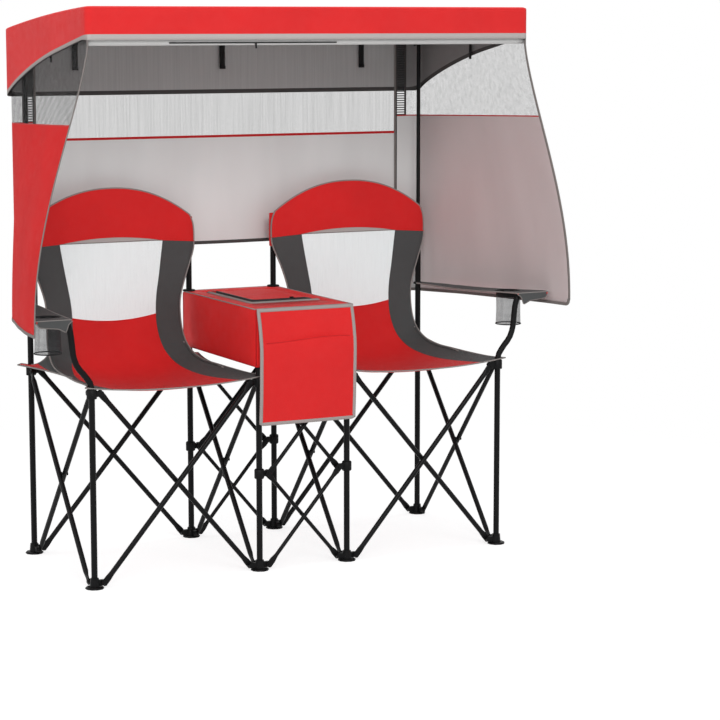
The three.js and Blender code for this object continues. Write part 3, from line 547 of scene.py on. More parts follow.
def seat(side, hand):
    centre = hand * CENTRE
    seam = 0.62
    columns = even(7, -1, -seam)[:-1] + even(24, -seam, seam) + even(7, seam, 1)[1:]
    segments = [40, 14, 3, 14]

    def across(p, v):
        half, panel = spline(SLING, v)[0], spline(SLING, v)[5]
        inner = panel / half
        if abs(p) <= seam:
            return p / seam * inner
        return math.copysign(inner + (1 - inner) * (abs(p) - seam) / (1 - seam), p)

    def level(p, k):
        """Heights of the panel's lower edge, its upper edge and the cap's arched edge."""
        q = min(1.0, abs(p) / seam)
        beyond = max(0.0, (abs(p) - seam) / (1 - seam))
        arch = PANEL_TOP + 0.0135 * (1 - q * q) - 0.006 * beyond
        return (PANEL_BOTTOM - 0.013 * (1 - q * q), min(PANEL_TOP, arch - 0.0006), arch)[k]

    stops = []
    for p in columns:
        stops.append([0.0] + [sling_at_height(across(p, 0.7), level(p, k)) for k in range(3)] + [1.0])
    rows, kinds = [], []
    for s, count in enumerate(segments):
        for r in range(count + (s == len(segments) - 1)):
            row = []
            for p, marks in zip(columns, stops):
                v = blend_value(marks[s], marks[s + 1], r / count)
                row.append(sling_point(centre, across(p, v), v))
            rows.append(row)
            kinds.append(s)

    def pick(i, j):
        outside = abs(columns[i] + columns[i + 1]) / 2 > seam
        if kinds[j] == 3:
            return 0
        if outside:
            return 1
        return (0, 2, 3)[kinds[j]]

    sling = cloth(f"seat_{side}", rows, [red, charcoal, white_net, pale_tape], pick, 0.0024)
    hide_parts(f"sling_{side}")
    n, m = len(columns), len(rows)
    edge = [rows[0][i] for i in range(n)] + [rows[j][-1] for j in range(1, m)]
    edge += [rows[-1][i] for i in range(n - 2, -1, -1)] + [rows[j][0] for j in range(m - 2, 0, -1)]
    inner = [rows[3][min(n - 3, max(2, i))] for i in range(n)] + [rows[min(j, m - 3)][-3] for j in range(1, m)]
    inner += [rows[-4][min(n - 3, max(2, i))] for i in range(n - 2, -1, -1)]
    inner += [rows[max(2, min(j, m - 3))][2] for j in range(m - 2, 0, -1)]
    piping = binding(f"seat_piping_{side}", edge, inner, 0.0028, 0.0017, piping_tape, closed=True)
    # Seams: a thin raised line each side of the middle panel, and round the net
    seams = []
    for column in (7, 7 + 24):
        line = [row[column] + Vector((0, -0.0011, 0.0006)) for row, kind in zip(rows, kinds) if kind < 3]
        seams.append(sweep("seam", line, circle(0.0011, 6), charcoal))
    lower = segments[0]
    upper = segments[0] + segments[1] + segments[2]
    for j, kind in ((lower, red), (segments[0] + segments[1], mid_tape), (upper, red)):
        span = range(0, n) if j == upper else range(7, 7 + 25)
        line = [rows[j][i] + Vector((0, -0.0012, 0)) for i in span]
        seams.append(sweep("seam", line, circle(0.0012, 6), kind))
    seam_piece = joined(f"seat_seams_{side}", *seams)
    # Rear corner tabs to the hubs
    tabs = []
    for end in (-1, 1):
        grid = []
        for r in even(10):
            row = []
            for k in even(12):
                near = sling_point(centre, end * 0.955, blend_value(0.2, 0.44, k)) + Vector((0, -0.0028, 0.0030))
                far = Vector((centre + end * blend_value(1.139, 1.06, k) * HALF,
                              SHIFT + blend_value(1.06, 1.14, k) * HALF, HUB + 0.0025))
                draw = 0.012 * math.sin(math.pi * r) * (2 * k - 1)
                point = near.lerp(far, r) + Vector((end * draw * 0.7, -draw * 0.5, 0))
                point.z = blend_value(near.z, far.z, 1 - (1 - r) ** (1 + 3 * k))
                row.append(point)
            grid.append(row)
        tabs.append(cloth("tab", grid, [red, charcoal], lambda i, j: 1 if j < 4 else 0))
        rim = [row[0] for row in grid] + grid[-1][1:-1] + [row[-1] for row in reversed(grid)]
        tabs.append(sweep("tab_edge", rim, circle(0.0013, 6), piping_tape))
    tab_piece = joined(f"seat_tabs_{side}", *tabs)
    solid = tab_piece.modifiers.new("cloth thickness", "SOLIDIFY")
    solid.thickness, solid.offset = 0.0016, 0.0
    # Sleeves behind the cap, where the rear legs end
    sleeves = []
    for end in (-1, 1):
        x = centre + end * HALF
        rings = []
        for z, r in ((TUBE - 0.066, 0.0098), (TUBE - 0.064, 0.0106), (TUBE - 0.02, 0.0109), (TUBE + 0.01, 0.0107),
                     (TUBE + 0.024, 0.0104), (TUBE + 0.026, 0.0095)):
            ripple = lambda q: 1 + 0.02 * math.sin(5 * q + 90 * z)
            rings.append([Vector((x + r * ripple(q) * math.cos(q), REAR + r * ripple(q) * math.sin(q), z))
                          for q in even(24, 0, 2 * math.pi)[:-1]])
        sleeves.append(cloth("sleeve", rings, [red], wrap=True))
    sleeve_piece = joined(f"seat_sleeves_{side}", *sleeves)
    inner_hub = f"hub_rear_{side}_inner"
    for piece in (sling, piping, seam_piece, tab_piece, sleeve_piece):
        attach(piece, inner_hub)
        follow(piece, f"hub_front_{side}_inner", lambda p: share(p.y, REAR, FRONT, SEAT_MARGIN))
        follow(piece, f"leg_rear_{side}_inner", lambda p: (p.z - 0.56) / (TUBE - 0.07 - 0.56))
        follow(piece, f"hub_rear_{side}_outer", lambda p: share(abs(p.x), INNER, OUTER, SEAT_MARGIN))


for side, hand in (("left", -1), ("right", 1)):
    seat(side, hand)


# Armrests

# Depth of the armrest's front hem, from its inner corner, over the post, to its outer corner
HEM_DEPTH = [(0.002,), (0.006,), (0.012,), (0.028,), (0.027,), (0.024,), (0.021,), (0.0195,), (0.019,), (0.018,),
             (0.018,), (0.017,), (0.017,), (0.016,), (0.015,), (0.013,), (0.004,)]


def armrest(side, hand):
    front = FRONT - 0.014
    reach = 0.146
    inner = [(0.37, 0.0), (0.32, 0.12), (0.22, 0.28), (0.1, 0.5), (0.0, 0.75), (-0.072, 1.0)]
    outer = [(1.0, 0.0), (1.07, 0.03), (1.0, 0.12), (0.82, 0.32), (0.48, 0.66), (0.11, 1.0)]
    cup = Vector((hand * (OUTER + 0.083), REAR - 0.374, 0))
    cup_radius = 0.0345
    to_plan = lambda q: Vector((hand * (OUTER + q[0] * reach), front + q[1] * (REAR + 0.006 - front)))
    rim = [to_plan(spline(inner, t)) for t in even(30)] + [to_plan(spline(outer, t)) for t in even(30, 1, 0)]
    hole = [Vector((cup.x + cup_radius * math.cos(q), cup.y + cup_radius * math.sin(q)))
            for q in even(36, 0, 2 * math.pi)[:-1]]
    xs, ys = [p.x for p in rim], [p.y for p in rim]
    dots = []
    for a in range(1, 24):
        for b in range(1, 64):
            q = Vector((blend_value(min(xs), max(xs), a / 24), blend_value(min(ys), max(ys), b / 64)))
            if (q - cup.xy).length > cup_radius + 0.003:
                dots.append(q)
    points = rim + hole + dots
    edges = [(i, (i + 1) % len(rim)) for i in range(len(rim))]
    start = len(rim)
    edges += [(start + i, start + (i + 1) % len(hole)) for i in range(len(hole))]
    out = delaunay_2d_cdt(points, edges, [], 1, 1e-6)
    plan, triangles = out[0], out[2]

    def lift(q):
        """The cloth sags a little between its pole and its post, and its free edge hangs a little."""
        t = (q.y - front) / (REAR - front)
        sag = 0.004 * math.sin(math.pi * min(1, max(0, t))) ** 2
        return Vector((q.x, q.y, ARM + 0.0015 - sag - 0.014 * min(1, max(0, t))))

    def inside(tri):
        q = (plan[tri[0]] + plan[tri[1]] + plan[tri[2]]) / 3
        if (q - cup.xy).length < cup_radius * 0.97:
            return False
        crossings = False
        for i in range(len(rim)):
            a, b = rim[i - 1], rim[i]
            if (a.y > q.y) != (b.y > q.y) and q.x < a.x + (q.y - a.y) / (b.y - a.y) * (b.x - a.x):
                crossings = not crossings
        return crossings

    faces = [tuple(t) for t in triangles if inside(t)]
    raised = [lift(q) for q in plan]
    pad = made(f"armrest_cloth_{side}", raised, faces, [0] * len(faces),
               [[tuple(plan[i]) for i in f] for f in faces], [charcoal])
    solid = pad.modifiers.new("cloth thickness", "SOLIDIFY")
    solid.thickness, solid.offset = 0.0026, 0.0
    edge = [lift(q) for q in rim]
    inward = []
    for k, q in enumerate(rim):
        t = rim[(k + 1) % len(rim)] - rim[k - 1]
        side_way = Vector((-t.y, t.x)).normalized()
        if side_way.dot(Vector((hand * (OUTER + 0.06), q.y * 0.96)) - q) < 0:
            side_way = -side_way
        inward.append(lift(q) + Vector((side_way.x, side_way.y, 0)) * 0.004)
    trim = binding(f"armrest_piping_{side}", edge, inward, 0.0026, 0.0018, piping_tape, closed=True)
    # Hem that hangs over the post at the front, with a red tip at each corner
    hem_rows = []
    corner_in, corner_out = to_plan((0.36, 0.0)), to_plan((1.01, 0.0))
    for drop in even(6):
        row = []
        for t in even(32):
            q = corner_in.lerp(corner_out, t)
            depth = spline(HEM_DEPTH, t)[0] * drop
            row.append(Vector((q.x, q.y - 0.0012 - 0.004 * math.sin(math.pi * t) * drop, ARM + 0.001 - depth)))
        hem_rows.append(row)
    hem = cloth("hem", hem_rows, [charcoal, red], lambda i, j: 1 if i < 1 or i >= 31 else 0)
    hem_edge = sweep("hem_edge", hem_rows[-1], circle(0.0008, 6), mid_tape)
    # Loop round the rear pole
    loop_rows = []
    for z in (ARM - 0.0095, ARM - 0.0105, ARM - 0.0125, ARM - 0.0145, ARM - 0.0155):
        r = 0.0125 if ARM - 0.015 < z < ARM - 0.01 else 0.0092
        loop_rows.append([Vector((hand * OUTER + r * math.cos(q), REAR + r * math.sin(q), z))
                          for q in even(20, 0, 2 * math.pi)[:-1]])
    loop = cloth("loop", loop_rows, [black_tape], wrap=True)
    extras = joined(f"armrest_hem_{side}", hem, hem_edge, loop)
    solid = extras.modifiers.new("cloth thickness", "SOLIDIFY")
    solid.thickness, solid.offset = 0.0014, 0.0
    # Cup net: wall, floor, a black ring at the foot and a bound rim
    top, bottom = lift(cup.xy).z + 0.001, ARM - 0.093
    wall_rows = []
    for t in even(12):
        z = blend_value(top, bottom, t)
        r = cup_radius + 0.0012 * math.sin(math.pi * t) * -1
        wall_rows.append([Vector((cup.x + r * math.cos(q), cup.y + r * math.sin(q), z))
                          for q in even(40, 0, 2 * math.pi)[:-1]])
    for r in (0.8, 0.5, 0.2, 0.02):
        wall_rows.append([Vector((cup.x + cup_radius * r * math.cos(q), cup.y + cup_radius * r * math.sin(q),
                                  bottom - 0.001 * (1 - r))) for q in even(40, 0, 2 * math.pi)[:-1]])
    wall = cloth(f"cup_net_{side}", wall_rows, [cup_net, black_tape], lambda i, j: 1 if j < 2 else 0, wrap=True)
    ring = lambda z, r: [Vector((cup.x + r * math.cos(q), cup.y + r * math.sin(q), z))
                         for q in even(40, 0, 2 * math.pi)[:-1]]
    foot = sweep("ring", ring(bottom, cup_radius), circle(0.0016, 8), black_tape, closed=True)
    lip = sweep("ring", ring(top - 0.001, cup_radius + 0.0005), circle(0.0027, 8, 0.7), black_tape, closed=True)
    rings = joined(f"cup_rings_{side}", foot, lip)
    body = f"hub_front_{side}_outer"
    for piece in (pad, trim, extras, wall, rings):
        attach(piece, body)
        follow(piece, f"leg_rear_{side}_outer", lambda p: (p.y - FRONT) / (BAY - 0.02))
    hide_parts(f"armrest_{side}")


for side, hand in (("left", -1), ("right", 1)):
    armrest(side, hand)


# Drinks box

def rounded(x, y0, y1, z, r, straight=8, corner=5):
    """Points round a rounded rectangle, front right corner first."""
    corners = [(x - r, y0 + r, -90), (x - r, y1 - r, 0), (-x + r, y1 - r, 90), (-x + r, y0 + r, 180)]
    points = []
    for k, (cx, cy, angle) in enumerate(corners):
        arc = []
        for t in even(corner):
            q = math.radians(angle + 90 * t)
            arc.append(Vector((cx + r * math.cos(q), cy + r * math.sin(q), z)))
        points += arc
        nx, ny, nangle = corners[(k + 1) % 4]
        start = arc[-1]
        end = Vector((nx + r * math.cos(math.radians(nangle)), ny + r * math.sin(math.radians(nangle)), z))
        points += [start.lerp(end, t) for t in even(straight)[1:-1]]
    return points


def drinks_box():
    x, y0, y1 = BOX_HIGH.x, BOX_LOW.y, BOX_HIGH.y
    z0, z1 = BOX_LOW.z, ARM
    lx, ly0, ly1 = LID_HIGH.x + 0.0012, LID_LOW.y - 0.0012, LID_HIGH.y + 0.0006
    wall = 0.006
    rings, kinds = [], []

    def ring(half, a, b, z, r, kind, bulge=0.0):
        points = rounded(half, a, b, z, r)
        if bulge:
            middle = Vector((0, (a + b) / 2, z))
            for p in points:
                edge_x, edge_y = abs(p.x) > half - 0.002, abs(abs(p.y - middle.y) - (b - a) / 2) < 0.002
                if edge_x:
                    p.x += math.copysign(bulge * (1 - ((p.y - middle.y) / ((b - a) / 2)) ** 2), p.x)
                if edge_y:
                    p.y += math.copysign(bulge * (1 - (p.x / half) ** 2), p.y - middle.y)
        rings.append(points)
        kinds.append(kind)

    ring(0.02, -0.02, 0.05, z0 + 0.0005, 0.005, 1)
    ring(x - 0.006, y0 + 0.006, y1 - 0.006, z0 + 0.0002, 0.008, 0)
    ring(x - 0.0015, y0 + 0.0015, y1 - 0.0015, z0 + 0.0015, 0.009, 0)
    ring(x, y0, y1, z0 + 0.006, 0.009, 0)
    for t in even(9)[1:-1]:
        ring(x, y0, y1, blend_value(z0 + 0.006, z1 - 0.004, t), 0.009, 0, 0.0022 * math.sin(math.pi * t))
    ring(x, y0, y1, z1 - 0.004, 0.009, 0)
    ring(x - 0.0012, y0 + 0.0012, y1 - 0.0012, z1 - 0.001, 0.009, 0)
    ring(x - 0.004, y0 + 0.004, y1 - 0.004, z1, 0.008, 0)
    ring(lx, ly0, ly1, z1, 0.012, 2)
    ring(lx, ly0, ly1, z1 - 0.004, 0.012, 2)
    # The inner walls go round the posts in wide arcs
    round_post = 0.043
    ring(x - wall, y0 + wall, y1 - wall, z1 - 0.0045, round_post, 2)
    for t in (0.3, 0.6, 0.95):
        ring(x - wall - 0.001, y0 + wall + 0.001, y1 - wall - 0.001, blend_value(z1, z0 + wall, t), round_post, 2)
    ring(x - wall - 0.01, y0 + wall + 0.01, y1 - wall - 0.01, z0 + wall, round_post - 0.008, 2)
    ring(0.02, -0.02, 0.05, z0 + wall, 0.005, 2)
    body = cloth("drinks_box", rings, [box_red_painted_light, dark_tape, silver], lambda i, j: kinds[j], wrap=True)
    caps = [cloth("cap", [rings[0], [Vector((0, 0.015, rings[0][0].z))] * len(rings[0])], [dark_tape], wrap=True),
            cloth("cap", [rings[-1], [Vector((0, 0.015, rings[-1][0].z))] * len(rings[0])], [silver], wrap=True)]
    body = joined("drinks_box", body, *caps)
    weld(body)
    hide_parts("cooler_body")
    # Piping along the upper side edges and the rear, a tape on the front edge, a cord up each corner
    lines = []
    top = lambda sx, y: Vector((sx * (x - 0.0012), y, z1 - 0.0008))
    for sx in (-1, 1):
        lines.append(sweep("p", [top(sx, y) for y in even(16, y0 + 0.006, y1 - 0.006)], circle(0.0017, 6), grey_tape))
        for y in (y0 + 0.0016, y1 - 0.0016):
            lines.append(sweep("p", [Vector((sx * (x - 0.0016), y, z)) for z in even(8, z0 + 0.006, z1 - 0.004)],
                               circle(0.0014, 6), red_tape))
    lines.append(sweep("p", [Vector((t, y1 - 0.0012, z1 - 0.0008)) for t in even(16, -x + 0.006, x - 0.006)],
                       circle(0.0017, 6), grey_tape))
    lines.append(sweep("p", [Vector((t, y0 + 0.0045, z1 + 0.0003)) for t in even(16, -x + 0.001, x - 0.001)],
                       [(-0.0052, -0.0006), (-0.0042, 0.0007), (0.0042, 0.0007), (0.0052, -0.0006)], grey_tape,
                       [Vector((0, 1, 0))] * 17))
    trims = joined("drinks_box_piping", *lines)
    # Zip tape round the left side and the front of the lid, fixed to the box
    path = [Vector((-lx - 0.004, y, z1 + 0.0006)) for y in even(14, ly1 - 0.004, ly0 + 0.014)]
    for angle in even(6, 180, 270)[1:]:
        q = math.radians(angle)
        path.append(Vector((-lx + 0.010 + 0.014 * math.cos(q), ly0 + 0.010 + 0.014 * math.sin(q), z1 + 0.0006)))
    path += [Vector((t, ly0 - 0.004, z1 + 0.0006)) for t in even(12, -lx + 0.012, lx + 0.002)[1:]]
    for angle in even(4, -90, 20)[1:]:
        q = math.radians(angle)
        path.append(Vector((lx + 0.002 + 0.004 * math.cos(q), ly0 + 0.004 * math.sin(q), z1 + 0.0006)))
    flat = [(-0.005, -0.0004), (-0.0045, 0.0006), (0.0022, 0.0036), (0.0032, 0.003), (-0.0035, -0.0006)]
    ways = [after - before for before, after in zip(path[:1] + path, path[1:] + path[-1:])]
    across_path = [Vector((-way.y, way.x, 0)) for way in ways]
    outer_tape = sweep("drinks_box_zip_tape", path, flat, grey_tape, across_path)
    # Collars at the rear poles
    for side, sx in (("left", -1), ("right", 1)):
        rows = []
        for r, z in ((0.0084, z1 + 0.0046), (0.0155, z1 + 0.0046), (0.0172, z1 + 0.0034), (0.0174, z1 + 0.0016),
                     (0.0168, z1 + 0.0004), (0.0084, z1 + 0.0004)):
            rows.append([Vector((sx * INNER + r * math.cos(q), REAR + r * math.sin(q), z)) for q in even(28, 0, 2 * math.pi)[:-1]])
        collar = cloth(f"drinks_box_collar_{side}", rows, [plastic], wrap=True)
        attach(collar, f"hub_rear_{side}_inner")
    for piece in (body, trims, outer_tape):
        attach(piece, "hub_front_left_inner")
        follow(piece, "hub_rear_left_inner", lambda p: share(p.y, FRONT, REAR, BOX_MARGIN))
        follow(piece, "hub_front_right_inner", lambda p: share(p.x, -INNER, INNER, BOX_MARGIN))

    # Lid: red cloth over a thin pad, its own half of the zip on the left and the front
    hx, a, b = LID_HIGH.x, LID_LOW.y, LID_HIGH.y
    rings, kinds = [], []
    steps = ((0.0, -0.0036, 3), (0.0, 0.0030, 1), (0.0002, 0.0086, 1), (0.0016, 0.0092, 2), (0.006, 0.0085, 0),
             (0.012, 0.0058, 0), (0.03, 0.0044, 0), (0.055, 0.004, 0), (0.085, 0.0038, 0))
    for inset, rise, kind in steps:
        ring = rounded(hx - inset, a + inset, b - inset, ARM, max(0.004, 0.012 - inset * 0.3))
        for p in ring:
            to_plain = max(p.x - (hx - 0.02), p.y - (b - 0.02)) / 0.014
            zipped = 1 - min(1.0, max(0.0, to_plain)) if inset < 0.02 else 1.0
            p.z += blend_value(min(rise, 0.0018), rise, zipped)
        rings.append(ring)
        kinds.append(kind)

    def lid_pick(i, j):
        if kinds[j] in (1, 2):
            p = rings[j][i]
            right, rear = p.x > hx - 0.012 and p.y > a + 0.01, p.y > b - 0.012
            if right or rear:
                return 0
        return kinds[j]

    top = cloth("lid", rings, [box_red_painted_light, zip_teeth, grey_tape, silver], lid_pick, wrap=True)
    under = cloth("lid", [rings[0], rounded(hx - 0.02, a + 0.02, b - 0.02, ARM - 0.0044, 0.01), rounded(0.01, 0, 0.06, ARM - 0.0046, 0.004)],
                  [silver], wrap=True)
    centre_top = cloth("lid", [rings[-1], [Vector((0, (a + b) / 2, ARM + 0.0037))] * len(rings[0])], [box_red_painted_light], wrap=True)
    centre_low = cloth("lid", [rounded(0.01, 0, 0.06, ARM - 0.0046, 0.004), [Vector((0, 0.03, ARM - 0.0046))] * len(rings[0])],
                       [silver], wrap=True)
    zx, zy, zz = 0.022, a + 0.0008, ARM + 0.0102
    slider = cloth("lid", [[Vector((zx + u * 0.0045, zy + w * 0.0035, zz + h)) for u, w in ((-1, -1), (1, -1), (1.1, 0), (1, 1), (-1, 1), (-1.1, 0))]
                           for h in (-0.0012, 0.0008, 0.0018)], [plastic], wrap=True)
    tag = sweep("lid", [Vector((zx, zy - 0.002, zz + 0.0012)), Vector((zx + 0.002, zy - 0.008, zz - 0.0002)), Vector((zx + 0.004, zy - 0.0125, zz - 0.0006))],
                [(-0.0022, -0.0005), (0.0022, -0.0005), (0.0022, 0.0005), (-0.0022, 0.0005)], plastic)
    lid = joined("drinks_box_lid", top, under, centre_top, centre_low, slider, tag)
    weld(lid)
    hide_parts("cooler_lid")
    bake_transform(lid)
    follow(lid, "leg_rear_left_inner", lambda p: share(p.y, FRONT, REAR, BOX_MARGIN))
    follow(lid, "leg_front_right_inner", lambda p: share(p.x, -INNER, INNER, BOX_MARGIN))


# How far the flap stands off the box, from its upper edge to its lower edge
FLAP_BOW = [(0,), (0.010,), (0.017,), (0.020,), (0.020,), (0.019,), (0.017,), (0.015,), (0.014,)]


def pocket_flap():
    low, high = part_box("pocket_flap")
    x, y, z0, z1 = high.x, high.y - 0.0015, low.z, high.z
    slit = 0.605
    above = even(10, z1, slit + 0.016) + even(4, slit + 0.012, slit + 0.0012)
    under = even(3, slit - 0.0002, slit - 0.005) + even(26, slit - 0.012, z0)
    rows = []
    for z in above + under:
        v = (z1 - z) / (z1 - z0)
        row = []
        for t in even(30, -1, 1):
            corner = 0.004 * max(0.0, (abs(t) - 0.93) / 0.07) ** 2
            gape = (1 - t * t) ** 0.5 * (0.6 + 0.4 * math.sin(2.2 * t + 1.0))
            out = 0.0012 + spline(FLAP_BOW, v)[0]
            if z > slit:
                out -= 0.0032 * gape * math.exp(-((z - slit) / 0.016) ** 2)
            else:
                out += 0.0034 * gape * math.exp(-((slit - z) / 0.045) ** 2)
            out += 0.0006 * math.sin(3 * t + 14 * v)
            droop = 0.0042 * math.sin(2.4 * t + 0.3) * math.exp(-((z - slit) / 0.03) ** 2)
            row.append(Vector((t * x, y - out, z + droop + corner * (v > 0.9))))
        rows.append(row)
    flap = cloth("flap", rows, [red])
    slit_path = [p + Vector((0, -0.0012, 0.0)) for p in rows[len(above) - 1][2:-2]]
    edge = sweep("flap_slit", slit_path, circle(0.0008, 6), red_tape)
    n = len(rows[0])
    rim = rows[0][:] + [r[-1] for r in rows[1:]] + rows[-1][-2::-1] + [r[0] for r in rows[-2:0:-1]]
    inner = [rows[3][min(n - 3, max(2, i))] for i in range(n)] + [r[-3] for r in rows[1:-3]] + [rows[-4][-3]] * 3
    inner += [rows[-4][min(n - 3, max(2, i))] for i in range(n - 2, -1, -1)] + [rows[-4][2]] * 2 + [r[2] for r in rows[-4:0:-1]]
    tape = binding("pocket_flap_tape", rim, inner[:len(rim)], 0.0082, 0.0021, grey_tape, closed=True)
    flap = joined("pocket_flap_cloth", flap, edge)
    solid = flap.modifiers.new("cloth thickness", "SOLIDIFY")
    solid.thickness, solid.offset = 0.0022, 0.0
    for piece in (flap, tape):
        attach(piece, "pocket_flap")
        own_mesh(piece)
    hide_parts("pocket_flap")


drinks_box()
pocket_flap()


# Canopy

def roof_top(y):
    t = (y - ROOF_FRONT) / (ROOF_REAR - ROOF_FRONT)
    return blend_value(ROOF_FRONT_TOP, ROOF_REAR_TOP, t) + 4 * 0.006 * t * (1 - t)


SKIRT = [(1.394,), (1.3845,), (1.374,), (1.363,), (1.352,), (1.339,), (1.324,), (1.307,), (1.288,), (1.266,), (1.242,)]
TAPE, SIDE_TAPE = 0.0145, 0.0095


def skirt_red_edge(y):
    return spline(SKIRT, (y - ROOF_FRONT) / (ROOF_REAR - ROOF_FRONT))[0]


def skirt_edge(y):
    """Lower edge of the skirt's tape, which is deeper along the front and the rear."""
    side = min(1.0, max(0.0, min(y - ROOF_FRONT, ROOF_REAR - y) / 0.03))
    return skirt_red_edge(y) - blend_value(TAPE, SIDE_TAPE, side)


def roof_height(x, y, inset):
    """Height of the roof's cloth, which sags and ripples a little away from its edges."""
    full = min(1.0, inset / 0.12)
    sag = 0.006 * full * (1 - (x / ROOF_HALF) ** 2)
    ripple = 0.0012 * full * math.sin(9 * x + 4 * math.sin(6 * y))
    return roof_top(y) - sag + ripple


def roof():
    plan = lambda inset, r: rounded(ROOF_HALF - inset, ROOF_FRONT + inset, ROOF_REAR - inset, 0, r, 40, 6)
    rings, kinds = [], []
    base = plan(0.0, 0.014)
    for t in even(2):
        rings.append([Vector((p.x, p.y, blend_value(skirt_edge(p.y), skirt_red_edge(p.y), t))) for p in base])
        kinds.append(1 if t < 0.99 else 0)
    for t in even(10)[1:]:
        ring = []
        for p in base:
            bottom, top = skirt_red_edge(p.y), roof_top(p.y) - 0.005
            wave = 0.0016 * math.sin(math.pi * t) * math.sin(11 * p.x + 3 * p.y) * (abs(p.x) < ROOF_HALF - 0.02)
            ring.append(Vector((p.x, p.y - math.copysign(wave, p.y), blend_value(bottom, top, t))))
        rings.append(ring)
        kinds.append(0)
    for inset, drop in ((0.0015, 0.0015), (0.005, 0.0)):
        rings.append([Vector((p.x, p.y, roof_top(p.y) - drop)) for p in plan(inset, 0.013)])
        kinds.append(0)
    for inset in (0.012, 0.03, 0.06, 0.10, 0.15, 0.20, 0.25, 0.285):
        rings.append([Vector((p.x, p.y, roof_height(p.x, p.y, inset))) for p in plan(inset, 0.012)])
        kinds.append(0)

    middle = (ROOF_FRONT + ROOF_REAR) / 2
    rings.append([Vector((p.x * 0.98, middle, roof_height(p.x * 0.98, middle, 1.0))) for p in rings[-1]])
    kinds.append(0)

    def roof_pick(i, j):
        if kinds[j] == 1 and base[i].y > ROOF_FRONT + 0.006:
            return 4
        return kinds[j]

    shell = cloth("canopy_cloth", rings, [red_shell, pale_tape, skirt_in, dark_tape, grey_tape, dark_tape, dark_tape],
                  roof_pick, wrap=True)
    weld(shell)
    solid = shell.modifiers.new("cloth thickness", "SOLIDIFY")
    solid.thickness, solid.offset = 0.0022, 1.0
    solid.material_offset, solid.material_offset_rim = 2, 2
    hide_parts("canopy_roof")
    # Seam cord round the top edge
    cord = sweep("canopy_edge_seam", [Vector((p.x, p.y, roof_top(p.y) - 0.003)) for p in plan(-0.0004, 0.014)],
                 circle(0.0016, 6), red_shell, closed=True)
    # Lining under the roof, with a band along the front that carries a zip
    z_front, z_rear = ROOF_FRONT_TOP - 0.071, ROOF_REAR_TOP - 0.027
    rows = []
    x = ROOF_HALF - 0.0055
    for y, z in ((ROOF_FRONT + 0.012, 1.366), (ROOF_FRONT + 0.0105, 1.3755), (ROOF_FRONT + 0.0095, 1.385)):
        rows.append([Vector((s * (x + 0.0015), y, z)) for s in even(48, -1, 1)])
    for t in even(20):
        y = blend_value(ROOF_FRONT + 0.0095, ROOF_REAR - 0.0075, t)
        rows.append([Vector((s * x, y, blend_value(z_front, z_rear, t) - 0.003 * (1 - s * s)
                             + 0.0008 * math.sin(14 * s + 5 * t))) for s in even(48, -1, 1)])
    lining = cloth("canopy_lining_cloth", rows, [lining_cloth], thick=0.0012)
    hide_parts("canopy_lining")
    zip_y = ROOF_FRONT + 0.0098
    zip_line = sweep("zip", [Vector((t, zip_y, 1.3722)) for t in even(30, -0.40, 0.06)],
                     [(-0.0012, -0.0016), (0.0012, -0.0016), (0.0012, 0.0016), (-0.0012, 0.0016)], zip_teeth,
                     [Vector((0, 1, 0))] * 31)
    puller = sweep("zip", [Vector((-0.166, zip_y - 0.001, 1.372)), Vector((-0.166, zip_y - 0.002, 1.364)), Vector((-0.1655, zip_y - 0.002, 1.358))],
                   [(-0.002, -0.0007), (0.002, -0.0007), (0.002, 0.0007), (-0.002, 0.0007)], plastic, [Vector((1, 0, 0))] * 3)
    zipper = joined("canopy_zip", zip_line, puller)
    # Straps that hang inside the rear and side skirts
    straps = []
    width, half_thick = 0.0075, 0.0007
    flat = [(-width, -half_thick), (width, -half_thick), (width, half_thick), (-width, half_thick)]
    for x in (-0.43, 0.0, 0.43):
        y = ROOF_REAR - 0.0125
        path = [Vector((x, y - 0.022, z_rear - 0.006)), Vector((x, y - 0.010, z_rear - 0.0065)), Vector((x, y - 0.003, z_rear - 0.011)),
                Vector((x, y, z_rear - 0.02)), Vector((x, y + 0.0006, z_rear - 0.045)), Vector((x, y - 0.0004, z_rear - 0.082))]
        straps.append(sweep("strap", path, flat, black_tape, [Vector((1, 0, 0))] * 6))
        straps.append(sweep("strap", [Vector((x, y - 0.0012, z_rear - 0.075)), Vector((x, y - 0.0014, z_rear - 0.083))],
                            [(-width - 0.0008, -0.0012), (width + 0.0008, -0.0012), (width + 0.0008, 0.0012), (-width - 0.0008, 0.0012)],
                            black_tape, [Vector((1, 0, 0))] * 2))
    for hand in (-1, 1):
        x = hand * (ROOF_HALF - 0.0105)
        path = [Vector((x, -0.018, z)) for z in (1.384, 1.36, 1.34, 1.322)]
        straps.append(sweep("strap", path, [(-0.0055, -0.0007), (0.0055, -0.0007), (0.0055, 0.0007), (-0.0055, 0.0007)], black_tape, [Vector((0, 1, 0))] * 4))
        # Patch of webbing where the pole meets the lining
        px = hand * (OUTER - 0.0075)
        rows = []
        for t in even(6):
            rows.append([Vector((px, blend_value(REAR - 0.07, REAR + 0.016, s),
                                 z_rear - 0.0035 - t * 0.02 * (0.25 + 0.75 * s))) for s in even(8)])
        straps.append(cloth("strap", rows, [black_tape]))
    strap_piece = joined("canopy_straps", *straps)
    solid = strap_piece.modifiers.new("cloth thickness", "SOLIDIFY")
    solid.thickness, solid.offset = 0.0006, 0.0
    for piece in (shell, cord, lining, zipper, strap_piece):
        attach(piece, "canopy_arm_left")
        follow(piece, "canopy_arm_right", lambda p: (p.x + OUTER) / (2 * OUTER))


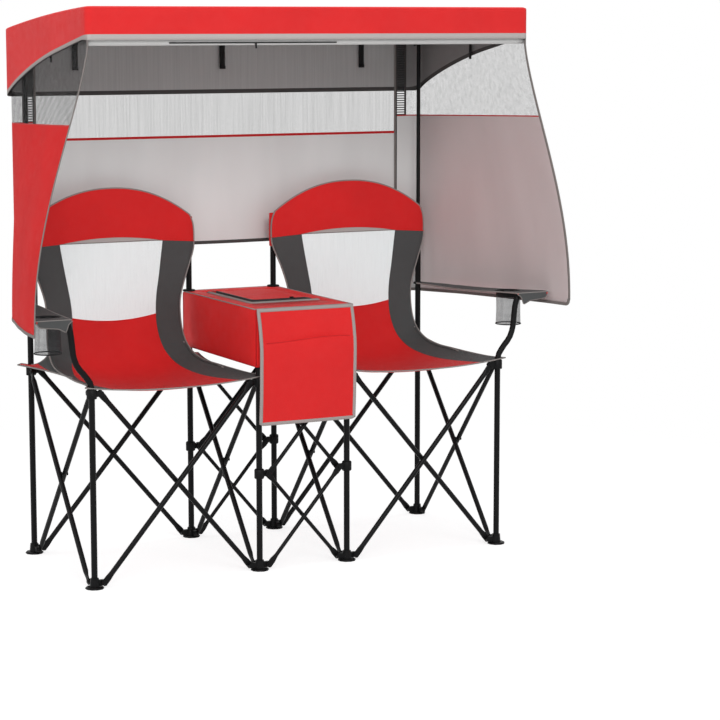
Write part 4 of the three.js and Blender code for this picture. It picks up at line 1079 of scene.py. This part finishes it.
def back_curtain():
    half, z0, z1 = BACK_HIGH.x, BACK_LOW.z, BACK_HIGH.z
    y0 = ROOF_REAR - 0.0043
    hem = ROOF_REAR_TOP - 0.175 - 0.008
    seam = 1.110
    band = 0.0034
    edge = skirt_edge(ROOF_REAR)
    heights = even(26, z0, seam - band) + even(12, seam + band, edge) + even(8, edge + 0.0115, z1)
    rows = []
    for z in heights:
        below = max(0.0, (hem - z) / (hem - z0))
        row = []
        for s in even(96):
            fold = 0.008 * below * (1 - math.cos(6 * math.pi * s)) / 2
            ripple = 0.0012 * math.sin(37 * s + 3 * math.sin(9 * s)) * (0.3 + 0.7 * below) * math.sin(math.pi * s)
            row.append(Vector(((2 * s - 1) * half, y0 - fold - abs(ripple), z)))
        rows.append(row)
    kinds = [0] * 26 + [1] + [2] * 12 + [3] + [4] * 9
    curtain = cloth("back_curtain_cloth", rows,
                    [silver, red_tape, curtain_net, dark_tape, back_header, red, red_tape, curtain_net, dark_tape, skirt_in],
                    lambda i, j: kinds[j], 0.0012, back=5, rim=0)
    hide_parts("back_curtain")
    n = len(rows[0])
    bottom = binding("b", rows[0], rows[3], 0.0085, 0.0014, dark_tape)
    sides = [binding("b", [r[k] for r in rows], [r[m] for r in rows], 0.005, 0.0015, mid_tape)
             for k, m in ((0, 3), (n - 1, n - 4))]
    trim = joined("back_curtain_tape", bottom, *sides)
    for piece in (curtain, trim):
        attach(piece, "back_curtain")
        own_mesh(piece)


def side_curtain(side, hand):
    corner = 0.030
    y_back = ROOF_REAR - 0.0043
    x_flat = ROOF_HALF - 0.0038
    ret = x_flat - BACK_HIGH.x - 0.0006
    run = y_back - ROOF_FRONT - 0.0033
    top = ROOF_REAR_TOP - 0.031

    def plan(u):
        """Place in plan from the curtain's rear edge, round the corner, to its front edge."""
        length = [ret - corner, corner * math.pi / 2, run - corner]
        d = u * sum(length)
        if d < length[0]:
            return x_flat - ret + d, y_back, 0.0
        if d < length[0] + length[1]:
            q = (d - length[0]) / corner
            return x_flat - corner + corner * math.sin(q), y_back - corner + corner * math.cos(q), 0.0
        t = (d - length[0] - length[1]) / length[2]
        return x_flat, y_back - corner - (run - corner) * t, t

    columns = even(4, 0, 0.045) + even(4, 0.045, 0.115)[1:] + even(38, 0.115, 0.97)[1:] + even(8, 0.97, 1.0)[1:]
    info = [plan(u) for u in columns]
    rows, kinds = [], []
    parts = [(24, 0), (1, 1), (12, 2), (1, 4), (5, 5)]
    for part, (count, kind) in enumerate(parts):
        for r in range(count + (part == len(parts) - 1)):
            row = []
            for x, y, t in info:
                ahead = (y_back - y) / run
                bottom = 0.650 + 0.009 * ahead
                left = run * (1 - t) if t > 0 else 1.0
                radius = 0.017
                if left < radius:
                    bottom += radius - math.sqrt(max(0.0, radius ** 2 - (radius - left) ** 2))
                hem = min(roof_top(y) - 0.075 - 0.1 * (0.45 * (1 - ahead) + 0.55 * (1 - ahead) ** 6), top) - 0.008
                seam = blend_value(1.157, 1.174, ahead)
                crown = top + 0.012 * ahead
                edge = min(crown - 0.0012, skirt_edge(y))
                band = min(crown - 0.0006, edge + 0.0085)
                marks = [bottom, seam - 0.0016, seam + 0.0016, edge, band, crown]
                z = blend_value(marks[part], marks[part + 1], r / count)
                below = min(1.0, max(0.0, (z - bottom) / (hem - bottom)))
                hang = math.sin((1 - below) * math.pi / 2)
                flare = 0.149 * hang ** 1.3 * t + 0.022 * hang ** 0.6 * math.sin(math.pi * t ** 0.8)
                fold = 0.003 * (1 - below) * (1 - math.cos(4 * math.pi * t)) / 2
                ripple = 0.0009 * math.sin(21 * t + 4 * z) * (1 - below)
                row.append(Vector((hand * (x + flare + fold + ripple), y, z)))
            rows.append(row)
            kinds.append(kind)
    if hand < 0:
        rows = [row[::-1] for row in rows]
        columns = columns[::-1]

    def pick(i, j):
        if kinds[j] >= 2 and max(columns[i], columns[i + 1]) <= 0.046:
            return 3
        # The strip by the rear corner keeps the plain silver coat; the rest of the inner face takes the copy with
        # painted shade and painted red bounce.
        if kinds[j] == 0 and max(columns[i], columns[i + 1]) <= 0.116:
            return 6
        return kinds[j]

    curtain = cloth(f"side_curtain_cloth_{side}", rows,
                    [silver_painted_shade_and_red_bounce, red_tape, side_net, rung_net, dark_tape, side_header, silver,
                     red_curtain_painted_darker, red_tape, side_net, rung_net, dark_tape, skirt_in, red_curtain_painted_darker],
                    pick, 0.0012, back=7, rim=7)
    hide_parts(f"side_curtain_{side}")
    n = len(rows[0])
    front_i, front_in = (n - 1, n - 3) if hand > 0 else (0, 2)
    rear_i, rear_in = (0, 2) if hand > 0 else (n - 1, n - 3)
    tapes = [
        binding("t", [r[front_i] for r in rows], [r[front_in] for r in rows], 0.0055, 0.0016, mid_tape),
        binding("t", rows[0], rows[3], 0.0075, 0.0016, mid_tape),
        binding("t", [r[rear_i] for r in rows], [r[rear_in] for r in rows], 0.0035, 0.0014, dark_tape),
    ]
    turn_i = 4 if hand > 0 else n - 5
    upper = [r[turn_i] + Vector((0, -0.0012, 0)) for r, k in zip(rows, kinds) if k >= 2]
    tapes.append(sweep("t", upper, [(-0.0028, -0.0008), (0.0028, -0.0008), (0.0028, 0.0008), (-0.0028, 0.0008)], dark_tape,
                       [Vector((1, 0, 0))] * len(upper)))
    trim = joined(f"side_curtain_tape_{side}", *tapes)
    for piece in (curtain, trim):
        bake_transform(piece)


roof()
back_curtain()
for side, hand in (("left", -1), ("right", 1)):
    side_curtain(side, hand)


# Hard parts: softer shading and edges

for name, node in frame["nodes"].items():
    if node.hide_render:
        continue
    for polygon in node.data.polygons:
        polygon.use_smooth = True
    node.modifiers.new("joins", "WELD").merge_threshold = 0.00002
    if name.startswith(("hub_", "slider_")):
        bevel = node.modifiers.new("edge", "BEVEL")
        bevel.width, bevel.segments, bevel.limit_method = 0.0007, 2, "ANGLE"
        bevel.angle_limit = math.radians(50)
    split = node.modifiers.new("crisp", "EDGE_SPLIT")
    split.split_angle = math.radians(47)


# Stage, light and camera

def stage():
    n = Nodes("floor")
    plain = n.add("ShaderNodeBsdfDiffuse", Color=(0.82, 0.82, 0.82, 1)).outputs[0]
    lit = n.add("ShaderNodeBsdfDiffuse", Color=(0.36, 0.36, 0.36, 1)).outputs[0]
    split = n.add("ShaderNodeSeparateXYZ", i0=n.place())
    away = n.math("SQRT", n.math("ADD", n.math("POWER", split.outputs[0], 2), n.math("POWER", split.outputs[1], 2)))
    glow = n.add("ShaderNodeEmission", Color=(1, 1, 1, 1), Strength=0.74).outputs[0]
    near = n.add("ShaderNodeAddShader", i0=lit, i1=glow).outputs[0]
    far = n.add("ShaderNodeEmission", Color=(1, 1, 1, 1), Strength=1.0).outputs[0]
    seen = n.add("ShaderNodeMixShader", i0=n.spread(away, 0.9, 2.2, 0.0, 1.0), i1=near, i2=far).outputs[0]
    path = n.add("ShaderNodeLightPath")
    is_seen = n.math("MAXIMUM", path.outputs["Is Camera Ray"],
                     n.math("MAXIMUM", path.outputs["Is Glossy Ray"], path.outputs["Is Transmission Ray"]))
    n.done(n.add("ShaderNodeMixShader", i0=is_seen, i1=plain, i2=seen).outputs[0])
    bpy.ops.mesh.primitive_plane_add(size=60, location=(0, 0, 0))
    floor = bpy.context.object
    floor.name = "floor"
    floor.data.materials.append(n.material)

    world = bpy.data.worlds.new("studio")
    bpy.context.scene.world = world
    world.use_nodes = True
    tree = world.node_tree
    tree.nodes.clear()
    out = tree.nodes.new("ShaderNodeOutputWorld")
    soft, white = tree.nodes.new("ShaderNodeBackground"), tree.nodes.new("ShaderNodeBackground")
    soft.inputs["Color"].default_value = (0.96, 0.98, 1.0, 1)
    soft.inputs["Strength"].default_value = 0.62
    white.inputs["Strength"].default_value = 1.0
    white.inputs["Color"].default_value = (1, 1, 1, 1)
    path = tree.nodes.new("ShaderNodeLightPath")
    either = tree.nodes.new("ShaderNodeMath")
    either.operation = "MAXIMUM"
    both = tree.nodes.new("ShaderNodeMath")
    both.operation = "MAXIMUM"
    mix = tree.nodes.new("ShaderNodeMixShader")
    link = tree.links.new
    link(path.outputs["Is Camera Ray"], either.inputs[0])
    link(path.outputs["Is Glossy Ray"], either.inputs[1])
    link(either.outputs[0], both.inputs[0])
    link(path.outputs["Is Transmission Ray"], both.inputs[1])
    link(both.outputs[0], mix.inputs[0])
    link(soft.outputs[0], mix.inputs[1])
    link(white.outputs[0], mix.inputs[2])
    link(mix.outputs[0], out.inputs[0])

    def lamp(name, place, target, size, watts):
        data = bpy.data.lights.new(name, "AREA")
        data.shape, data.size, data.size_y, data.energy = "RECTANGLE", size[0], size[1], watts
        o = bpy.data.objects.new(name, data)
        bpy.context.scene.collection.objects.link(o)
        o.location = place
        o.rotation_euler = (Vector(target) - Vector(place)).to_track_quat("-Z", "Y").to_euler()

    lamp("key", (-1.2, -4.6, 3.2), (0, 0, 0.8), (3.0, 2.2), 144)
    lamp("left", (-4.2, -0.6, 2.2), (0, 0, 0.9), (2.4, 2.4), 40)
    lamp("above", (0.3, 0.2, 4.4), (0, 0, 0.5), (3.0, 3.0), 60)

    data = bpy.data.cameras.new("camera")
    data.lens, data.sensor_width = 119.47, 36.0
    camera = bpy.data.objects.new("camera", data)
    bpy.context.scene.collection.objects.link(camera)
    camera.location = (-2.664, -5.803, 1.427)
    camera.rotation_euler = (Vector((0.2837, 0.013, 0.5006)) - camera.location).to_track_quat("-Z", "Y").to_euler()
    bpy.context.scene.camera = camera
    bpy.context.scene.view_settings.view_transform = "Standard"


stage()
